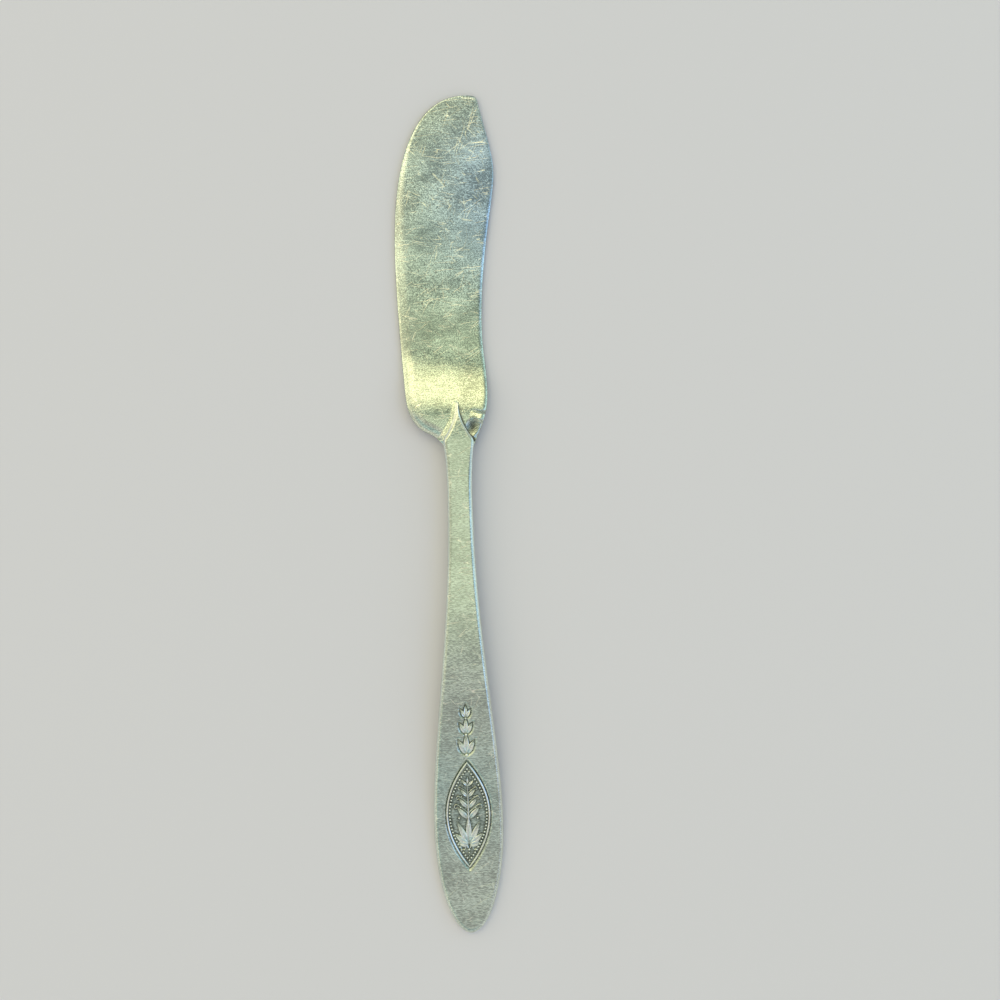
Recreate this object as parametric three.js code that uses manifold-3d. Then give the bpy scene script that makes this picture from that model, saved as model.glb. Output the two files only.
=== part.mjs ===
// A flat-handled butter spreader, lying face up on a table. It is two struck pieces of plated metal: the
// handle, whose neck ends in a pointed tongue over the blade, and the cranked blade, whose tang goes into a
// mortise in the neck. A thin film of braze between them holds the two together.
//
// Millimetres, +Z up. +Y runs from the handle's end to the blade's tip and +X towards the blade's back. The
// origin is on the table, in the middle of the spreader's box. Inside the group, y is measured from the
// handle's end and x from the handle's centre line.

import * as THREE from "three";
import { mergeVertices } from "three/addons/utils/BufferGeometryUtils.js";
import Module from "manifold-3d";

// Handle, seen from above
const handleWidth = 13;
const endLength = 20.5; // the rounded end, up to the widest place
const shankLength = 61; // from the widest place to the narrowest
const stemWidth = 4.65;
const neckLength = 11.3; // from the narrowest place to the shoulders
const shoulderWidth = 5.9;
const tongueLength = 7.1;
const tongueTipWidth = 0.4;
const endFlatWidth = 0.7;
const bellyPull = 16; // how far the side runs on straight from the widest place
const stemPull = 26; // and before the narrowest
const neckFlare = 3; // power of the curve that opens the neck towards the shoulders
const tongueLean = 0.15; // how far the tongue's tip leans towards the spreading edge
const edgeHollow = 1.9; // powers of the curves that draw the tongue's two sides in
const spineHollow = 2.2;

// Handle, seen from the side
const endThickness = 1.7;
const neckThickness = 2.7;
const restLength = 8; // the flat under the end that lies on the table
const archRise = 1.6; // how far the shank bows clear of the table
const tongueTipHeight = 0.35;
const tongueFall = 1.5; // power of the curve along which the tongue's face falls
const handleBevelWidth = 0.75;
const handleBevelDrop = 0.4;
const tongueBevelShare = 0.35; // how much of that drop is left at the tongue's tip
const undersideEase = 0.35;

// Blade, seen from above: rises are measured from the handle's shoulders, setbacks from the blade's tip
const bladeLength = 65.2;
const edgeReach = 11.25; // centre line to the spreading edge, at its widest
const edgeHeelReach = 9.85;
const edgeHeelRise = 8.5;
const edgeBellySetback = 29;
const spineReach = 7.95; // centre line to the back, at its widest
const spineHeelReach = 5.7;
const spineHeelRise = 9;
const spineWaistReach = 4.9;
const spineWaistRise = 21;
const spineBulgeSetback = 14.7;
const tipReach = 2.9;
const tipFlatWidth = 0.5;
const clipReach = 5.15;
const clipSetback = 1.1;
const heelNotchReach = 4.65; // where the edge side of the heel turns out of the neck
const heelNotchRise = 0.95;

// Pulls of the blade's outline: how far each curve runs on straight as it leaves and as it reaches a point
const edgeHeelLeave = 3;
const edgeHeelArrive = 4.2;
const edgeLeave = 7.5;
const edgeArrive = 8.5;
const bellyLeave = 18;
const bellyArrive = 9.2;
const spineHeelLeave = 2.8;
const spineHeelArrive = 5;
const waistLeave = 4;
const waistArrive = 4;
const bulgeLeave = 14;
const bulgeArrive = 4.5;
const clipLeave = 3.5;
const clipArrive = 4.1;
const tipLeave = 1;
const tipArrive = 1.25;
const heelNotchTurn = THREE.MathUtils.degToRad(76); // each turn is from straight along the blade
const spineHeelTurn = THREE.MathUtils.degToRad(-17);
const edgeLean = THREE.MathUtils.degToRad(5);
const clipLean = THREE.MathUtils.degToRad(12);

// Blade, seen from the side
const heelThickness = 1.5;
const tipThickness = 0.95;
const crankRise = 1.5; // the heel and neck stand this far above the blade's underside
const crankStartRise = 4.5; // from the shoulders to where the crank starts to fall
const crankLength = 9.5;
const crankSkew = 1.5; // over 1, the crank starts gently and ends in a tighter bend
const crankTilt = 0.12; // how much sooner it comes, for each millimetre towards the spine
const edgeBevelWidth = 1.7;
const edgeBevelDrop = 0.6;
const edgeBevelTipShare = 0.5; // how much of that bevel is left at the tip
const spineBevelWidth = 1.1;
const spineBevelDrop = 0.35;
const heelBevelWidth = 1.15; // struck across the heel's round corner, on the edge side
const heelBevelDrop = 0.35;
const heelBevelStart = 0.6; // rises between which it runs, and over which it comes and goes
const heelBevelEnd = 6.2;
const heelBevelFade = 1.4;
const bladeEaseWidth = 0.7;
const bladeEaseRise = 0.2;

// Hollow struck beside the tongue, on the side of the blade's back
const scoopReach = 3.55;
const scoopRise = 3.3;
const scoopWidth = 2.8;
const scoopLength = 5.2;
const scoopDepth = 0.5;
const scoopTurn = THREE.MathUtils.degToRad(-22);

// Brazed joint
const tangWidth = 3;
const tangLength = 9;
const tangThickness = 0.8;
const buttInset = 1.5; // the blade's butt lies this far under the neck
const jointClearance = 0.1;
const brazeThickness = 0.12;
const brazeInset = 0.2;
const neckMargin = 1.5; // straight neck behind the tang

// Ornament struck into the handle's face
const medallionSetback = 12; // from the handle's end to the lower point
const medallionLength = 21;
const medallionWidth = 8.4;
const rimWidth = 0.55;
const rimHeight = 0.12;
const groundDepth = 0.25;
const reliefHeight = 0.42; // of the petals, above the ground they stand on
const fanRise = 4.6; // from the medallion's lower point to the foot of the leaf fan
const fanLeafLength = 6;
const fanLeafWidth = 1.3;
const fanLeafCount = 7;
const fanSpread = THREE.MathUtils.degToRad(150);
const fanSideShare = 0.36; // length of a leaf that lies square to the handle, against the middle one
const sprayRise = 9.6; // from the medallion's lower point to the lowest pair of spray leaves
const sprayPairCount = 4;
const sprayPitch = 2.1;
const sprayLeafLength = 3.3;
const sprayLeafWidth = 1.15;
const sprayTaper = 0.82; // each pair against the one below it
const sprayTurn = THREE.MathUtils.degToRad(42);
const huskGap = 0.9;
const huskCount = 3;
const huskLength = 4.2;
const huskWidth = 1.3;
const huskTaper = 0.8; // each husk against the one below it
const huskPitch = 0.92; // husk to husk, in lengths of the lower one
const huskSideShare = 0.8; // length of a husk's side petals against its middle one
const huskTurn = THREE.MathUtils.degToRad(28);
const petalFullness = 0.8; // under 1, a petal is widest nearer its foot

// Steps along and across the lofted faces
const endRows = 12;
const shankRows = 20;
const neckRows = 8;
const tongueRows = 9;
const bladeRows = 46;
const medallionRows = 16;
const curveSteps = 24;
const petalSteps = 6;
const petalSides = 8;
const scoopSides = 20;
const scoopRings = 14;
const handleColumns = [0, 0.06, 0.14, 0.3, 0.5, 0.7, 0.86, 0.94, 1];
const bladeColumns = [0, 0.03, 0.06, 0.1, 0.22, 0.36, 0.5, 0.64, 0.78, 0.9, 0.94, 0.97, 1];
const medallionColumns = [0, 0.07, 0.2, 0.4, 0.6, 0.8, 0.93, 1];

// Places that follow from the sizes above
const widest = endLength;
const narrowest = widest + shankLength;
const shoulder = narrowest + neckLength;
const tongueTip = shoulder + tongueLength;
const bladeTip = shoulder + bladeLength;
const butt = shoulder - buttInset;
const tangEnd = butt - tangLength;
const neckStart = tangEnd - neckMargin;
const seat = crankRise + heelThickness; // the heel's upper face, which the tongue is brazed to
const tongueSeat = seat + brazeThickness;

const handleSilver = new THREE.MeshStandardMaterial({ color: 0xa3ac9b, roughness: 0.4, metalness: 1 });
const bladeSilver = new THREE.MeshStandardMaterial({ color: 0xa9b5a4, roughness: 0.36, metalness: 1 });
const braze = new THREE.MeshStandardMaterial({ color: 0xb8b08c, roughness: 0.45, metalness: 1 });

const wasm = await Module();
wasm.setup();

const { lerp, smoothstep } = THREE.MathUtils;

// Manifold solid of a closed geometry
function solid(geometry) {
  const bare = geometry.clone();
  bare.deleteAttribute("normal");
  bare.deleteAttribute("uv");
  const { index, attributes } = mergeVertices(bare);
  const corners = [];
  for (let i = 0; i < index.count; i += 3) {
    const triangle = [index.getX(i), index.getX(i + 1), index.getX(i + 2)];
    if (new Set(triangle).size === 3) corners.push(...triangle);
  }
  const triVerts = new Uint32Array(corners);
  const vertProperties = attributes.position.array;
  return new wasm.Manifold(new wasm.Mesh({ numProp: 3, vertProperties, triVerts }));
}

// Named mesh of a manifold solid
function meshOf(name, shape, material) {
  const { vertProperties, triVerts } = shape.getMesh();
  const geometry = new THREE.BufferGeometry();
  geometry.setAttribute("position", new THREE.BufferAttribute(vertProperties, 3));
  geometry.setIndex(new THREE.BufferAttribute(triVerts, 1));
  geometry.computeVertexNormals();
  const mesh = new THREE.Mesh(geometry, material);
  mesh.name = name;
  return mesh;
}

// Closed plate: each row runs from its left side to its right side, between an upper and a lower face
function plate({ rows, columns, left, right, upper, lower }) {
  const positions = [];
  for (const face of [lower, upper]) {
    for (const y of rows) {
      for (const share of columns) {
        const x = lerp(left(y), right(y), share);
        positions.push(x, y, face(x, y));
      }
    }
  }
  const lastRow = rows.length - 1;
  const lastColumn = columns.length - 1;
  const low = (row, column) => row * columns.length + column;
  const high = (row, column) => low(row + rows.length, column);
  const faces = [];
  const quad = (a, b, c, d) => faces.push(a, b, c, a, c, d);
  for (let r = 0; r < lastRow; r++) {
    for (let c = 0; c < lastColumn; c++) {
      quad(high(r, c), high(r, c + 1), high(r + 1, c + 1), high(r + 1, c));
      quad(low(r, c), low(r + 1, c), low(r + 1, c + 1), low(r, c + 1));
    }
    quad(low(r, 0), high(r, 0), high(r + 1, 0), low(r + 1, 0));
    quad(low(r, lastColumn), low(r + 1, lastColumn), high(r + 1, lastColumn), high(r, lastColumn));
  }
  for (let c = 0; c < lastColumn; c++) {
    quad(low(0, c), low(0, c + 1), high(0, c + 1), high(0, c));
    quad(low(lastRow, c), high(lastRow, c), high(lastRow, c + 1), low(lastRow, c + 1));
  }
  const geometry = new THREE.BufferGeometry();
  geometry.setAttribute("position", new THREE.Float32BufferAttribute(positions, 3));
  geometry.setIndex(faces);
  return geometry;
}

// Even steps from start to end, the start left out
function stepsAfter(start, end, count) {
  return Array.from({ length: count }, (_, i) => lerp(start, end, (i + 1) / count));
}

// The place across the plan, at a given y, of a line of points that climbs along y
function lineAt(points) {
  return (y) => {
    const next = points.findIndex((p) => p.y >= y);
    if (next < 1) return points[next < 0 ? points.length - 1 : 0].x;
    const [a, b] = [points[next - 1], points[next]];
    return lerp(a.x, b.x, (y - a.y) / (b.y - a.y));
  };
}

// Distance in plan from a point to a line of points
function distanceTo(points, x, y) {
  const point = new THREE.Vector3(x, y, 0);
  const segment = new THREE.Line3();
  const nearest = new THREE.Vector3();
  let least = Infinity;
  for (let i = 1; i < points.length; i++) {
    segment.start.set(points[i - 1].x, points[i - 1].y, 0);
    segment.end.set(points[i].x, points[i].y, 0);
    segment.closestPointToPoint(point, true, nearest);
    least = Math.min(least, nearest.distanceTo(point));
  }
  return least;
}

// Share of a rounded bevel's drop: whole at the outline, none beyond the bevel's width
function bevelShare(distance, width) {
  return Math.max(0, 1 - distance / width) ** 2;
}

// Handle: how far its sides lie from the centre line, then its underside and face along its length

const flank = new THREE.CubicBezierCurve(
  new THREE.Vector2(handleWidth / 2, widest),
  new THREE.Vector2(handleWidth / 2, widest + bellyPull),
  new THREE.Vector2(stemWidth / 2, narrowest - stemPull),
  new THREE.Vector2(stemWidth / 2, narrowest),
);
const flankAt = lineAt(flank.getPoints(curveSteps));

function tongueShare(y) {
  return THREE.MathUtils.clamp((y - shoulder) / tongueLength, 0, 1);
}

function handleReach(y, hollow) {
  if (y <= widest) {
    const share = (widest - y) / endLength;
    const round = (handleWidth / 2) * Math.sqrt(Math.max(0, 1 - share ** 2));
    return Math.max(round, endFlatWidth / 2);
  }
  if (y <= narrowest) return flankAt(y);
  if (y <= shoulder) {
    const share = (y - narrowest) / neckLength;
    return lerp(stemWidth, shoulderWidth, share ** neckFlare) / 2;
  }
  return lerp(tongueTipWidth, shoulderWidth, (1 - tongueShare(y)) ** hollow) / 2;
}

const handleMiddle = (y) => -tongueLean * tongueShare(y);
const handleLeft = (y) => handleMiddle(y) - handleReach(y, edgeHollow);
const handleRight = (y) => handleMiddle(y) + handleReach(y, spineHollow);

function handleUnderside(y) {
  const share = THREE.MathUtils.clamp((y - restLength) / (neckStart - restLength), 0, 1);
  return crankRise * smoothstep(share, 0, 1) + archRise * Math.sin(Math.PI * share) ** 2;
}

function handleFace(y) {
  const thickness = lerp(endThickness, neckThickness, smoothstep(y, widest, neckStart));
  const body = handleUnderside(Math.min(y, shoulder)) + thickness;
  return lerp(body, tongueSeat + tongueTipHeight, tongueShare(y) ** tongueFall);
}

const handleRows = [
  ...Array.from({ length: endRows + 1 }, (_, i) => endLength * (1 - Math.cos((i / endRows) * (Math.PI / 2)))),
  ...stepsAfter(widest, narrowest, shankRows),
  ...stepsAfter(narrowest, shoulder, neckRows),
  ...stepsAfter(shoulder, tongueTip, tongueRows),
];
const handleOutline = [
  ...handleRows.map((y) => new THREE.Vector2(handleLeft(y), y)),
  ...handleRows.map((y) => new THREE.Vector2(handleRight(y), y)).reverse(),
];
const closedOutline = [...handleOutline, handleOutline[0]];

function handleBody() {
  const inFromSide = (x, y) => distanceTo(closedOutline, x, y);
  const bevelDrop = (y) => handleBevelDrop * lerp(1, tongueBevelShare, tongueShare(y));
  return solid(
    plate({
      rows: handleRows,
      columns: handleColumns,
      left: handleLeft,
      right: handleRight,
      upper: (x, y) => handleFace(y) - bevelDrop(y) * bevelShare(inFromSide(x, y), handleBevelWidth),
      lower: (x, y) => handleUnderside(y) + undersideEase * bevelShare(inFromSide(x, y), undersideEase),
    }),
  );
}

// Box between two corners
function block(low, high) {
  const size = new THREE.Vector3().subVectors(high, low);
  const middle = new THREE.Vector3().addVectors(low, high).multiplyScalar(0.5);
  return solid(new THREE.BoxGeometry(...size).translate(...middle));
}

// Joint: the step that the handle gives up for the blade's heel, and the mortise for its tang
function heelStep() {
  const low = new THREE.Vector3(-shoulderWidth, butt - jointClearance, 0);
  const high = new THREE.Vector3(shoulderWidth, tongueTip + tongueLength, tongueSeat);
  return block(low, high);
}

function mortise() {
  const half = tangWidth / 2 + jointClearance;
  const low = new THREE.Vector3(-half, tangEnd - jointClearance, seat - tangThickness - jointClearance);
  const high = new THREE.Vector3(half, shoulder, tongueSeat);
  return block(low, high);
}

// Ornament: a pointed oval with a raised rim round a sunk ground, a leaf fan and a spray on the ground, and a
// chain of husks above it

const medallionFoot = medallionSetback;
const medallionHead = medallionFoot + medallionLength;
const medallionMiddle = (medallionFoot + medallionHead) / 2;
const medallionSteps = [medallionFoot, ...stepsAfter(medallionFoot, medallionHead, medallionRows)];

// Pointed oval plate between two heights above the handle's face, inset from the medallion's edge
function pointedOval(inset, from, to) {
  const width = medallionWidth - 2 * inset;
  const shorten = 1 - (2 * inset) / medallionWidth;
  const half = (y) => {
    const share = (y - medallionMiddle) / ((medallionLength / 2) * shorten);
    return Math.max(endFlatWidth / 4, (width / 2) * (1 - share ** 2));
  };
  return solid(
    plate({
      rows: medallionSteps.map((y) => lerp(medallionMiddle, y, shorten)),
      columns: medallionColumns,
      left: (y) => -half(y),
      right: half,
      upper: (x, y) => handleFace(y) + to,
      lower: (x, y) => handleFace(y) + from,
    }),
  );
}

// Pointed petal lying on the handle's face, its foot at a place on the centre line, turned in plan
function petal(length, width, foot, turn, ground) {
  const profile = Array.from({ length: petalSteps + 1 }, (_, i) => {
    const share = i / petalSteps;
    const swell = Math.sin(Math.PI * share ** petalFullness);
    return new THREE.Vector2(i % petalSteps === 0 ? 0 : (width / 2) * swell, length * share);
  });
  const geometry = new THREE.LatheGeometry(profile, petalSides);
  geometry.scale(1, 1, reliefHeight / (width / 2));
  geometry.rotateZ(-turn);
  geometry.translate(0, foot, 0);
  const { position } = geometry.attributes;
  for (let i = 0; i < position.count; i++) {
    position.setZ(i, position.getZ(i) + handleFace(position.getY(i)) - ground);
  }
  return solid(geometry);
}

function leafFan() {
  const foot = medallionFoot + fanRise;
  return Array.from({ length: fanLeafCount }, (_, i) => {
    const turn = fanSpread * (i / (fanLeafCount - 1) - 0.5);
    const length = fanLeafLength * lerp(fanSideShare, 1, Math.cos(turn) ** 2);
    return petal(length, fanLeafWidth, foot, turn, groundDepth);
  });
}

function leafSpray() {
  const leaves = [];
  for (let pair = 0; pair < sprayPairCount; pair++) {
    const foot = medallionFoot + sprayRise + pair * sprayPitch;
    const size = sprayTaper ** pair;
    for (const side of [-1, 1]) {
      leaves.push(petal(sprayLeafLength * size, sprayLeafWidth * size, foot, side * sprayTurn, groundDepth));
    }
  }
  return leaves;
}

function huskChain() {
  const petals = [];
  let foot = medallionHead + huskGap;
  for (let husk = 0; husk < huskCount; husk++) {
    const size = huskTaper ** husk;
    for (const side of [-1, 0, 1]) {
      const length = huskLength * size * (side ? huskSideShare : 1);
      petals.push(petal(length, huskWidth * size, foot, side * huskTurn, groundDepth));
    }
    foot += huskLength * size * huskPitch;
  }
  return petals;
}

function handle() {
  const sunk = -2 * reliefHeight;
  const shape = handleBody()
    .subtract(heelStep())
    .subtract(mortise())
    .add(pointedOval(0, sunk, rimHeight))
    .subtract(pointedOval(rimWidth, -groundDepth, 2 * reliefHeight));
  const relief = [...leafFan(), ...leafSpray(), ...huskChain()];
  return meshOf("handle", relief.reduce((whole, leaf) => whole.add(leaf), shape), handleSilver);
}

// Blade: its two sides in plan, then its faces

const at = (x, rise) => new THREE.Vector2(x, shoulder + rise);

// Step of a given length, turned from straight along the blade towards the edge side
function along(length, turn = 0) {
  return new THREE.Vector2(0, length).rotateAround(new THREE.Vector2(), turn);
}

// Points on a chain of curves, each given by how it leaves the last point, where it ends and how it arrives
function sideLine(start, ...curves) {
  const path = new THREE.CurvePath();
  let from = start;
  for (const [leave, to, arrive] of curves) {
    path.add(new THREE.CubicBezierCurve(from, from.clone().add(leave), to.clone().sub(arrive), to));
    from = to;
  }
  return path.getPoints(curveSteps);
}

const bellyRise = bladeLength - edgeBellySetback;
const bulgeRise = bladeLength - spineBulgeSetback;
const clipRise = bladeLength - clipSetback;
const heelStart = handleRight(butt);
const squareTurn = Math.PI / 2;

const edgeSide = sideLine(
  at(-heelStart, -buttInset),
  [along(heelNotchRise), at(-heelNotchReach, heelNotchRise), along(heelNotchRise, squareTurn / 2)],
  [along(edgeHeelLeave, heelNotchTurn), at(-edgeHeelReach, edgeHeelRise), along(edgeHeelArrive, edgeLean)],
  [along(edgeLeave, edgeLean), at(-edgeReach, bellyRise), along(edgeArrive)],
  [along(bellyLeave), at(tipReach - tipFlatWidth / 2, bladeLength), along(bellyArrive, -squareTurn)],
);

const spineSide = sideLine(
  at(heelStart, -buttInset),
  [along(spineHeelLeave, spineHeelTurn), at(spineHeelReach, spineHeelRise), along(spineHeelArrive)],
  [along(waistLeave), at(spineWaistReach, spineWaistRise), along(waistArrive)],
  [along(bulgeLeave), at(spineReach, bulgeRise), along(bulgeArrive)],
  [along(clipLeave), at(clipReach, clipRise), along(clipArrive, clipLean)],
  [along(tipLeave, clipLean), at(tipReach + tipFlatWidth / 2, bladeLength), along(tipArrive, squareTurn)],
);

const crankStart = shoulder + crankStartRise;

function bladeUnderside(x, y) {
  const share = THREE.MathUtils.clamp((y + crankTilt * x - crankStart) / crankLength, 0, 1);
  return crankRise * (1 - smoothstep(share ** crankSkew, 0, 1));
}

function bladeThickness(y) {
  const share = Math.max(0, (y - crankStart) / (bladeTip - crankStart));
  return lerp(heelThickness, tipThickness, share);
}

// Share of the blade's bevels, which fade out where the heel runs under the tongue
function bevelFade(y) {
  return smoothstep(y, shoulder, shoulder + edgeBevelWidth);
}

// Flat bevel across the round corner of the heel
function heelBevel(x, y) {
  const rise = y - shoulder;
  const comes = smoothstep(rise, heelBevelStart, heelBevelStart + heelBevelFade);
  const goes = smoothstep(rise, heelBevelEnd - heelBevelFade, heelBevelEnd);
  return heelBevelDrop * Math.max(0, 1 - distanceTo(edgeSide, x, y) / heelBevelWidth) * (comes - goes);
}

function bladeUpper(x, y) {
  const edgeShare = lerp(1, edgeBevelTipShare, smoothstep(y, shoulder + bellyRise, bladeTip));
  const edge = edgeBevelDrop * edgeShare * bevelShare(distanceTo(edgeSide, x, y), edgeBevelWidth * edgeShare);
  const spine = spineBevelDrop * bevelShare(distanceTo(spineSide, x, y), spineBevelWidth);
  const drop = Math.max(edge, spine) * (bladeThickness(y) / heelThickness) * bevelFade(y);
  return bladeUnderside(x, y) + bladeThickness(y) - Math.max(drop, heelBevel(x, y));
}

function bladeLower(x, y) {
  const distance = Math.min(distanceTo(edgeSide, x, y), distanceTo(spineSide, x, y));
  return bladeUnderside(x, y) + bladeEaseRise * bevelShare(distance, bladeEaseWidth) * bevelFade(y);
}

function tang() {
  const low = new THREE.Vector3(-tangWidth / 2, tangEnd, seat - tangThickness);
  const high = new THREE.Vector3(tangWidth / 2, shoulder, seat);
  return block(low, high);
}

function scoop() {
  const geometry = new THREE.SphereGeometry(1, scoopSides, scoopRings);
  geometry.scale(scoopWidth / 2, scoopLength / 2, scoopDepth);
  geometry.rotateZ(scoopTurn);
  geometry.translate(scoopReach, shoulder + scoopRise, seat);
  return solid(geometry);
}

function blade() {
  const sheet = plate({
    rows: Array.from({ length: bladeRows + 1 }, (_, i) =>
      lerp(butt, bladeTip, (1 - Math.cos((i / bladeRows) * Math.PI)) / 2),
    ),
    columns: bladeColumns,
    left: lineAt(edgeSide),
    right: lineAt(spineSide),
    upper: bladeUpper,
    lower: bladeLower,
  });
  return meshOf("blade", solid(sheet).add(tang()).subtract(scoop()), bladeSilver);
}

// Braze: one film over the tang and under the tongue
function brazeFilm() {
  const tangHalf = tangWidth / 2 - brazeInset;
  const leastHalf = tongueTipWidth / 4;
  const tongueSteps = stepsAfter(shoulder, tongueTip - tongueTipWidth, tongueRows);
  const sideOf = (side, reach) => [
    new THREE.Vector2(side * tangHalf, tangEnd + brazeInset),
    new THREE.Vector2(side * tangHalf, butt + brazeInset),
    new THREE.Vector2(side * (heelStart - brazeInset), butt + brazeInset),
    ...tongueSteps.map((y) => {
      const half = Math.max(leastHalf, Math.abs(reach(y) - handleMiddle(y)) - brazeInset);
      return new THREE.Vector2(handleMiddle(y) + side * half, y);
    }),
  ];
  const outline = [...sideOf(1, handleRight), ...sideOf(-1, handleLeft).reverse()];
  const geometry = new THREE.ExtrudeGeometry(new THREE.Shape(outline), {
    depth: brazeThickness,
    bevelEnabled: false,
  });
  geometry.translate(0, 0, seat);
  return meshOf("braze_film", solid(geometry), braze);
}

const spreader = new THREE.Group();
spreader.add(handle(), blade(), brazeFilm());
spreader.position.set((edgeReach - spineReach) / 2, -bladeTip / 2, 0);

export default new THREE.Group().add(spreader);
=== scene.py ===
import math

import bmesh
import bpy
import numpy as np
from bpy.props import FloatProperty, FloatVectorProperty, IntProperty, PointerProperty
from bpy.types import NodeSocket, Operator, Panel, PropertyGroup
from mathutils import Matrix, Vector
from mathutils.bvhtree import BVHTree
from mathutils.geometry import interpolate_bezier


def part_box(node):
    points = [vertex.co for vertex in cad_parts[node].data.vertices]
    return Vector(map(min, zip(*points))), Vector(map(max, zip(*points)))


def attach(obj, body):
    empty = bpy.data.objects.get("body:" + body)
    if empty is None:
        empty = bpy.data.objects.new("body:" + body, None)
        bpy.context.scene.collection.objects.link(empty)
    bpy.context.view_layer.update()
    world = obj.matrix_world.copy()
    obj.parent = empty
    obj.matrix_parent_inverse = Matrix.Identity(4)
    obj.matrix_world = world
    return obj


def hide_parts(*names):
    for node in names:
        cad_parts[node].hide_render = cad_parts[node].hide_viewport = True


bl_info = {
    "name": "Butter spreader",
    "version": (1, 0, 0),
    "blender": (4, 5, 0),
    "location": "View3D > Sidebar > Spreader",
    "description": "Models a worn, plated butter spreader over its CAD frame",
    "category": "Add Mesh",
}

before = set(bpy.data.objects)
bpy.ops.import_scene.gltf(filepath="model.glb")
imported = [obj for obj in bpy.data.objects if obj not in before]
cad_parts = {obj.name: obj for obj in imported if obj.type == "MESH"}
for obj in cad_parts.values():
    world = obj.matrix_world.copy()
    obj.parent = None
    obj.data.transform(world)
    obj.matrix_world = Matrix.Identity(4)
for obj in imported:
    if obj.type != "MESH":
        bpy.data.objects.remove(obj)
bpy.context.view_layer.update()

MM = 0.001

# Places that the frame gives. Every shape below is drawn with x from the handle's centre line and y from the
# handle's end, and is then moved to its place in the frame.
handle_low, handle_high = (Vector(corner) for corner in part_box("handle"))
blade_low, blade_high = (Vector(corner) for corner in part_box("blade"))
film_low, film_high = (Vector(corner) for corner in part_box("braze_film"))
ORIGIN = Vector(((handle_low.x + handle_high.x) / 2, handle_low.y, 0))
TONGUE_TIP = handle_high.y - ORIGIN.y
BLADE_TIP = blade_high.y - ORIGIN.y
TANG_END = blade_low.y - ORIGIN.y
EDGE_REACH = ORIGIN.x - blade_low.x
SPINE_REACH = blade_high.x - ORIGIN.x
SEAT = film_low.z
TONGUE_SEAT = film_high.z


def length(name, description, millimetres):
    default = millimetres * MM
    return FloatProperty(name=name, description=description, default=default, unit="LENGTH", precision=5)


def turn(name, description, degrees):
    return FloatProperty(name=name, description=description, default=math.radians(degrees), subtype="ANGLE")


def share(name, description, value):
    return FloatProperty(name=name, description=description, default=value, min=0)


def count(name, description, value):
    return IntProperty(name=name, description=description, default=value, min=1)


def colour(name, description, value):
    return FloatVectorProperty(
        name=name, description=description, default=value, subtype="COLOR", size=3, min=0, max=1
    )


class HandleSizes(PropertyGroup):
    """Sizes of the handle with its stem, neck and tongue"""

    width: length("Width", "Across the widest place", (handle_high.x - handle_low.x) / MM)
    end_length: length("End", "From the end to the widest place", 20.5)
    end_flat: length("End flat", "Width of the end's last row", 0.7)
    shank_length: length("Shank", "From the widest place to the narrowest", 61)
    stem_width: length("Stem width", "Across the narrowest place", 4.65)
    shoulder_width: length("Shoulder width", "Across the neck where the tongue starts", 5.9)
    tongue_length: length("Tongue", "From the shoulders to the tongue's tip", 7.1)
    tongue_tip_width: length("Tongue tip width", "Across the tongue's tip", 0.4)
    tongue_lean: length("Tongue lean", "How far the tongue's tip leans to the edge side", 0.15)
    edge_hollow: share("Edge hollow", "Power of the curve of the tongue's edge side", 1.9)
    spine_hollow: share("Spine hollow", "Power of the curve of the tongue's spine side", 2.2)
    tongue_fall: share("Tongue fall", "Power of the curve along which the tongue's face falls", 1.5)
    belly_pull: length("Belly pull", "How far the side runs on straight from the widest place", 16)
    stem_pull: length("Stem pull", "How far the side runs straight before the narrowest place", 26)
    neck_flare: share("Neck flare", "Power of the curve that opens the neck", 3)
    end_thickness: length("End thickness", "Thickness at the end", 1.7)
    neck_thickness: length("Neck thickness", "Thickness at the neck", 2.7)
    neck_margin: length("Neck margin", "Straight neck behind the tang", 1.5)
    rest_length: length("Rest", "Flat under the end that lies on the table", 8)
    arch_rise: length("Arch", "How far the shank bows clear of the table", 1.6)
    tongue_tip_height: length("Tongue tip height", "Height of the tongue's tip over its seat", 0.35)
    bevel_width: length("Bevel width", "Rounded bevel along the face's sides", 0.75)
    bevel_drop: length("Bevel drop", "How far that bevel falls", 0.4)
    tongue_bevel_share: share("Tongue bevel share", "How much of that drop is left at the tongue's tip", 0.35)
    flat_bevel_width: length("Flat bevel width", "Flat bevel along the tongue's spine side", 0.4)
    flat_bevel_drop: length("Flat bevel drop", "How far the flat bevel falls", 0.22)
    ease: length("Ease", "Rounding of the underside's sides", 0.35)
    corner: length("Corner", "Radius of the last corner before the side wall", 0.12)
    tongue_corner: length("Tongue corner", "Radius of that corner along the tongue", 0.03)


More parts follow.
